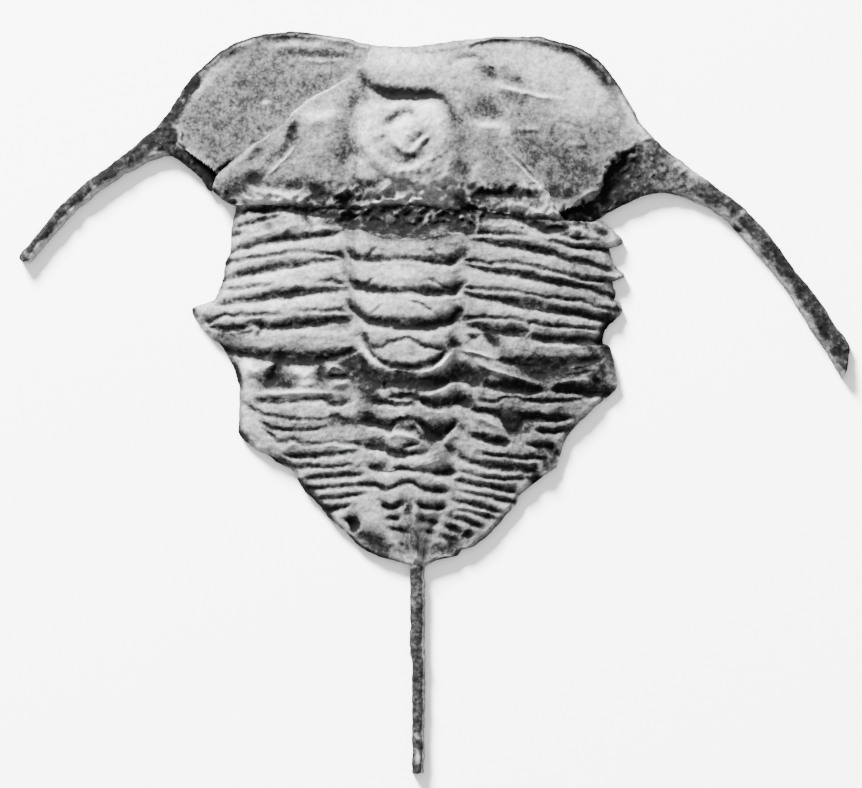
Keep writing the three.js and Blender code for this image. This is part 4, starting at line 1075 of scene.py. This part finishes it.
def strip_places(u, v, edges, columns, back, front):
    """Plan places of a strip across the body from the line back to the line front. edges are the lines
    along the body that its columns follow."""
    rows, row_of = np.unique(np.round(v, 5), return_inverse=True)
    crossings = []
    for edge in edges:
        x = edge(mix(back(0.0), front(0.0), rows))
        for _ in range(40):
            x = mix(x, edge(mix(back(x), front(x), rows)), 0.5)
        crossings.append(x)
    crossings = np.array(crossings)
    cuts = np.concatenate(([0], np.cumsum(columns))) / sum(columns)
    part = np.clip(np.searchsorted(cuts, u + 1e-6, side="right") - 1, 0, len(columns) - 1)
    t = clamp01((u - cuts[part]) / (cuts[part + 1] - cuts[part]))
    x = mix(crossings[part, row_of], crossings[part + 1, row_of], t)
    return x, mix(back(x), front(x), v)


def spline(points, t):
    """Places on a smooth curve through points, for t from 0 to 1."""
    points = np.array(points, float)
    ends = np.vstack((2 * points[0] - points[1], points, 2 * points[-1] - points[-2]))
    at = t * (len(points) - 1)
    i = np.clip(np.floor(at).astype(int), 0, len(points) - 2)
    w = (at - i)[:, None]
    p, a, b, q = ends[i], ends[i + 1], ends[i + 2], ends[i + 3]
    return a + 0.5 * w * (b - p + w * (2 * p - 5 * a + 4 * b - q + w * (3 * (a - b) + q - p)))


def hollowness(z, u, v):
    """How far each point lies below its surroundings, from -1 to 1."""
    order = np.lexsort((np.round(u, 5), np.round(v, 5)))
    columns = len(np.unique(np.round(u, 5)))
    grid = z[order].reshape(-1, columns)
    soft = grid
    for _ in range(2):
        for axis, reach in ((1, 4), (0, 5)):
            padding = [(reach, reach) if k == axis else (0, 0) for k in (0, 1)]
            total = np.cumsum(np.pad(soft, padding, mode="edge"), axis=axis)
            total = np.insert(total, 0, 0, axis=axis)
            span = 2 * reach + 1
            soft = (np.take(total, range(span, total.shape[axis]), axis)
                    - np.take(total, range(total.shape[axis] - span), axis)) / span
    result = np.empty(len(z))
    result[order] = np.clip((soft - grid) / HOLLOW_DEPTH, -1, 1).ravel()
    return result


def finish_plate(sheet, u, v, x, y, z, tones, furrows, node, extra_tone=0.0):
    """Lays the sheet to its relief, gives it walls and a flat underside, and puts it in the frame."""
    mesh = sheet.data
    broad_shift, fine_shift = UNEVEN
    uneven_x = x + broad_shift * middling(x + 11, y) + fine_shift * fine(x + 5, y)
    uneven_y = y + broad_shift * middling(x, y + 23) + fine_shift * fine(x, y + 17)
    mesh.vertices.foreach_set("co", (np.column_stack((uneven_x, uneven_y, z)) * MM).ravel())
    _, inside = cut_furrows(x, y, furrows)
    # where the ring of the first segment is lost: darker bare rock, and painted shade in the hollow
    if node == "thoracic_segment_1":
        lost_ring_and_painted_shade = smooth(5 * neck_hollow(x, y))
        extra_tone = extra_tone - lost_ring_and_painted_shade * (0.62 + 0.22 * fine(x + 60, y) + 0.14 * middling(x + 60, y))
    # painted shade in the furrows and on the ground leaning into them
    painted_shade = FURROW_TONE * inside * (0.9 + 0.2 * fine(x + 80, y) + 0.1 * middling(x + 80, y))
    tone = BASE_TONE + MARK_TONE * add_marks(x, y, tones) - painted_shade + extra_tone
    on_head = node in HEAD_PLATES
    tone = tone + 0.05 * broad(x + 40, y) + (-0.04 if on_head else 0.03 + 0.06 * streaks(x + 20, y))
    darkest = 0.06 + 0.14 * fine(x + 50, y) + 0.1 * middling(x + 50, y)
    tone = clamp01(np.maximum(tone, darkest))
    for attribute, values in (("tone", tone), ("hollow", hollowness(z, u, v))):
        layer = mesh.attributes.new(attribute, "FLOAT", "POINT")
        layer.data.foreach_set("value", values.astype(np.float32))
    bpy.ops.object.mode_set(mode="EDIT")
    bpy.ops.mesh.select_mode(type="EDGE")
    bpy.ops.mesh.select_all(action="DESELECT")
    bpy.ops.mesh.select_non_manifold(extend=False)
    bpy.ops.mesh.extrude_region_move(TRANSFORM_OT_translate={"value": (0, 0, -WALL_START * MM)})
    bpy.ops.transform.resize(value=(1, 1, 0), center_override=(0, 0, 0))
    bpy.ops.mesh.edge_face_add()
    bpy.ops.mesh.select_all(action="SELECT")
    bpy.ops.mesh.normals_make_consistent(inside=False)
    bpy.ops.object.mode_set(mode="OBJECT")
    bpy.ops.object.shade_smooth_by_angle(angle=math.radians(SMOOTH_ANGLE))
    mesh.materials.append(stone)
    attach(sheet, "root")
    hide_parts(node)


def make_strip(node, edges, columns, rows, back, front, height, tones, furrows):
    sheet, u, v = add_sheet("relief_" + node, (sum(columns), rows))
    x, y = strip_places(u, v, edges, columns, back, front)
    dull, pale_from, pale = TAIL_SPINE_TONE
    across = (x - body_left(y)) / (body_right(y) - body_left(y))
    pale_side = smooth((across - pale_from) / 0.1)
    spine_tone = smooth((-18.9 - y) / 0.5) * mix(dull, pale, pale_side)
    finish_plate(sheet, u, v, x, y, height(x, y), tones, furrows, node, spine_tone)


def make_cheek(node, outer, inner, suture, side, root_at, spine_at, scarp, root, spine_tone, tones):
    sheet, u, v = add_sheet("relief_" + node, CHEEK_CELLS)
    along = 1 - u if side < 0 else u
    inner_places, outer_places = spline(inner, along), spline(outer, along)
    # as far as the plate meets the cranidium, its edge is the suture itself
    counts = np.arange(len(inner))
    last_touch = SUTURE_POINTS[side] - 1
    touching = along * (len(inner) - 1) <= last_touch
    plain_y = np.interp(along * (len(inner) - 1), counts, np.array(inner)[:, 1])
    inner_places[touching, 1] = plain_y[touching]
    inner_places[touching, 0] = suture(plain_y[touching]) + side * gap
    if side < 0:  # the left spine ends in a round tip
        tip = np.sqrt(np.clip(1 - clamp01((along - 0.985) / 0.015) ** 2, 0.09, 1))
    else:
        tip = 1.0
    x, y = mix(inner_places, outer_places, (0.5 + (v - 0.5) * tip)[:, None]).T
    front_end = (along < 1e-6) & (v > 0)
    x[front_end] = suture(y[front_end]) + side * gap
    from_outer = (1 - v) * np.hypot(*(outer_places - inner_places).T)
    rim = 0.1 * bump(from_outer - 0.35, 0.2) - 0.1 * bump(from_outer - 0.95, 0.3)
    edge = 0.35 * (1 - smooth(from_outer / 0.35))
    plateau = head_height(x, y) + rim - edge
    round_ = dome(2 * v - 1)
    spine = SPINE_HEIGHT * (0.55 + 0.45 * round_)
    on_spine = smooth((along - spine_at) / 0.06)
    rough = roughness(x, y) + 0.08 * middling(x + 6, y) + 0.06 * fine(x + 6, y)
    low = mix(0.85 + 0.3 * round_, spine, on_spine) + rough + add_marks(x, y, SPINE_MARKS)
    # the plateau of the cheek breaks off at the scarp, above the spine's root
    past_root = smooth((along - root_at) / 0.04)
    ragged = 0.25 * middling(x + 6, y) + 0.16 * fine(x + 6, y)
    beyond = smooth((beside(x, y, scarp) + ragged) / 0.4 + 0.5)
    fallen = np.maximum(past_root, beyond * smooth((along - root_at + 0.14) / 0.05))
    extra_tone = ROOT_TONE * fallen * (1 - on_spine)
    if root:
        before_root = smooth(0.5 - (beside(x, y, root) + ragged) / 0.9) * beyond
        low = low - before_root * (0.15 + 0.2 * middling(x + 8, y) + 0.12 * fine(x + 8, y))
        extra_tone = extra_tone + 0.06 * before_root
    # painted shadow over the outer part of a genal spine, and a paler inner side where the light falls
    painted_shade, pale_until, pale = spine_tone
    pale_side = smooth((pale_until - v + 0.15 * middling(x, y)) / 0.3) * on_spine
    extra_tone = extra_tone + painted_shade * on_spine * (1 - pale_side) + pale * pale_side
    z = mix(plateau, low, fallen)
    finish_plate(sheet, u, v, x, y, np.maximum(z, THINNEST_CHEEK), tones, HEAD_FURROWS, node, extra_tone)


# Materials

class Field:
    """A value in a shader: expressions on it add the Math nodes."""

    def __init__(self, tree, socket):
        self.tree, self.socket = tree, socket

    def maths(self, operation, other):
        node = self.tree.nodes.new("ShaderNodeMath")
        node.operation = operation
        for socket, term in zip(node.inputs, (self, other)):
            connect(self.tree, socket, term)
        return Field(self.tree, node.outputs[0])

    def __add__(self, other):
        return self.maths("ADD", other)

    def __sub__(self, other):
        return self.maths("SUBTRACT", other)

    def __mul__(self, other):
        return self.maths("MULTIPLY", other)


def connect(tree, socket, value):
    if isinstance(value, Field):
        tree.links.new(value.socket, socket)
    else:
        socket.default_value = value


def add_node(tree, kind, settings, values, output=0):
    node = tree.nodes.new(kind)
    for name, value in settings.items():
        if name == "stops":
            ramp = node.color_ramp
            for element, (at, color) in zip(ramp.elements, value):
                element.position, element.color = at, color
            for at, color in value[2:]:
                ramp.elements.new(at).color = color
        else:
            setattr(node, name, value)
    for name, value in values.items():
        connect(tree, node.inputs[name], value)
    return Field(tree, node.outputs[output])


def new_material(name):
    material = bpy.data.materials.new(name)
    material.use_nodes = True
    tree = material.node_tree
    return material, tree, tree.nodes["Principled BSDF"]


def grey(value, warmth=0.0):
    return (value * (1 + warmth), value, value * (1 - warmth), 1.0)


def make_stone():
    material, tree, shader = new_material("dusted stone with painted shade")
    place = add_node(tree, "ShaderNodeTexCoord", {}, {}, "Object")
    tone = add_node(tree, "ShaderNodeAttribute", {"attribute_name": "tone"}, {}, "Fac")
    hollow = add_node(tree, "ShaderNodeAttribute", {"attribute_name": "hollow"}, {}, "Fac")

    def noise(scale, detail=3.0, rough=0.6):
        return add_node(tree, "ShaderNodeTexNoise", {}, {
            "Vector": place, "Scale": scale, "Detail": detail, "Roughness": rough})

    grain = noise(4200.0, 2.0)
    mottle = noise(900.0, 4.0)
    blotch = noise(220.0, 3.0)
    rubble = noise(1900.0, 3.0)
    # the tone, with painted shade where the surface lies below its surroundings, and grain and mottling
    dust_and_painted_shade = (tone - hollow * 0.22 + (grain - 0.5) * 0.6 + (rubble - 0.5) * 0.4 + (mottle - 0.5) * 0.25
            + (blotch - 0.5) * 0.3)
    color = add_node(tree, "ShaderNodeValToRGB", {"stops": [
        (0.0, grey(0.0022)), (1.0, grey(0.26)), (0.14, grey(0.0065)), (0.25, grey(0.018)), (0.5, grey(0.072)),
        (0.75, grey(0.155)),
    ]}, {"Fac": dust_and_painted_shade})
    tree.links.new(color.socket, shader.inputs["Base Color"])
    shader.inputs["Roughness"].default_value = 0.92
    shader.inputs["Specular IOR Level"].default_value = 0.06
    height = grain * 0.6 + rubble
    relief = add_node(tree, "ShaderNodeBump", {}, {"Strength": 0.6, "Distance": 0.00008, "Height": height})
    tree.links.new(relief.socket, shader.inputs["Normal"])
    return material


def make_floor_paint():
    material, _, shader = new_material("pale table")
    shader.inputs["Base Color"].default_value = grey(0.94)
    shader.inputs["Roughness"].default_value = 0.9
    return material


stone = make_stone()

# Plates
gap = HAIRLINE / 2
make_strip(
    "cranidium",
    edges=[lambda y: left_suture(y) + gap, glabella_left, glabella_right, lambda y: right_suture(y) - gap],
    columns=HEAD_COLUMNS, rows=HEAD_ROWS,
    back=lambda x: seams[0](x) + gap, front=cranidium_front,
    height=cranidium_height, tones=HEAD_TONES, furrows=HEAD_FURROWS,
)
make_cheek("left_free_cheek", LEFT_CHEEK_OUTER, LEFT_CHEEK_INNER, left_suture, -1, 0.42, 0.53,
           LEFT_SCARP[::-1], None, LEFT_SPINE_TONE, LEFT_CHEEK_TONES)
make_cheek("right_free_cheek", RIGHT_CHEEK_OUTER, RIGHT_CHEEK_INNER, right_suture, 1, 0.4, 0.6,
           RIGHT_SCARP, RIGHT_ROOT, RIGHT_SPINE_TONE, RIGHT_CHEEK_TONES)
for number, (ahead, behind) in enumerate(zip(seams[:-1], seams[1:]), start=1):
    make_strip(
        f"thoracic_segment_{number}",
        edges=[body_left, axis_left, axis_right, body_right],
        columns=SEGMENT_COLUMNS, rows=SEGMENT_ROWS,
        back=lambda x, behind=behind: behind(x) + gap, front=lambda x, ahead=ahead: ahead(x) - gap,
        height=segment_height(number), tones=THORAX_TONES, furrows=THORAX_FURROWS,
    )
make_strip(
    "pygidium",
    edges=[body_left, axis_left, axis_right, body_right],
    columns=TAIL_COLUMNS, rows=TAIL_ROWS,
    back=lambda x: TAIL_SPINE_END + 0.0 * x, front=lambda x: seams[-1](x) - gap,
    height=tail_height, tones=TAIL_TONES, furrows=TAIL_FURROWS + THORAX_FURROWS,
)

# Table, light and camera
deselect_everything()
bpy.ops.mesh.primitive_plane_add(size=TABLE_SIZE, location=(0, 0, -TABLE_DROP * MM))
floor = bpy.context.active_object
floor.name = "table"
floor.data.materials.append(make_floor_paint())


def add_light(name, azimuth, elevation, distance, size, power):
    """azimuth counts from +Y towards +X."""
    light = bpy.data.lights.new(name, "AREA")
    light.size, light.energy = size, power
    obj = bpy.data.objects.new(name, light)
    bpy.context.scene.collection.objects.link(obj)
    a, e = math.radians(azimuth), math.radians(elevation)
    direction = Vector((math.sin(a) * math.cos(e), math.cos(a) * math.cos(e), math.sin(e)))
    obj.location = direction * distance
    obj.rotation_euler = direction.to_track_quat("Z", "Y").to_euler()


add_light("window", azimuth=-27, elevation=32, distance=0.6, size=0.16, power=50.0)
add_light("ceiling", azimuth=20, elevation=80, distance=0.7, size=0.7, power=3.6)

world = bpy.data.worlds.new("room")
world.use_nodes = True
world.node_tree.nodes["Background"].inputs["Color"].default_value = grey(1.0)
world.node_tree.nodes["Background"].inputs["Strength"].default_value = 0.72
bpy.context.scene.world = world

camera_data = bpy.data.cameras.new("camera")
camera_data.lens, camera_data.sensor_width = LENS, SENSOR
camera_data.clip_start = 0.01
camera = bpy.data.objects.new("camera", camera_data)
bpy.context.scene.collection.objects.link(camera)
middle = on_stone([(PICTURE[0] / 2, PICTURE[1] / 2)])[0]
camera.location = Vector((middle[0], middle[1], FOCUS_HEIGHT + FRAME_WIDTH * LENS / SENSOR)) * MM
bpy.context.scene.camera = camera
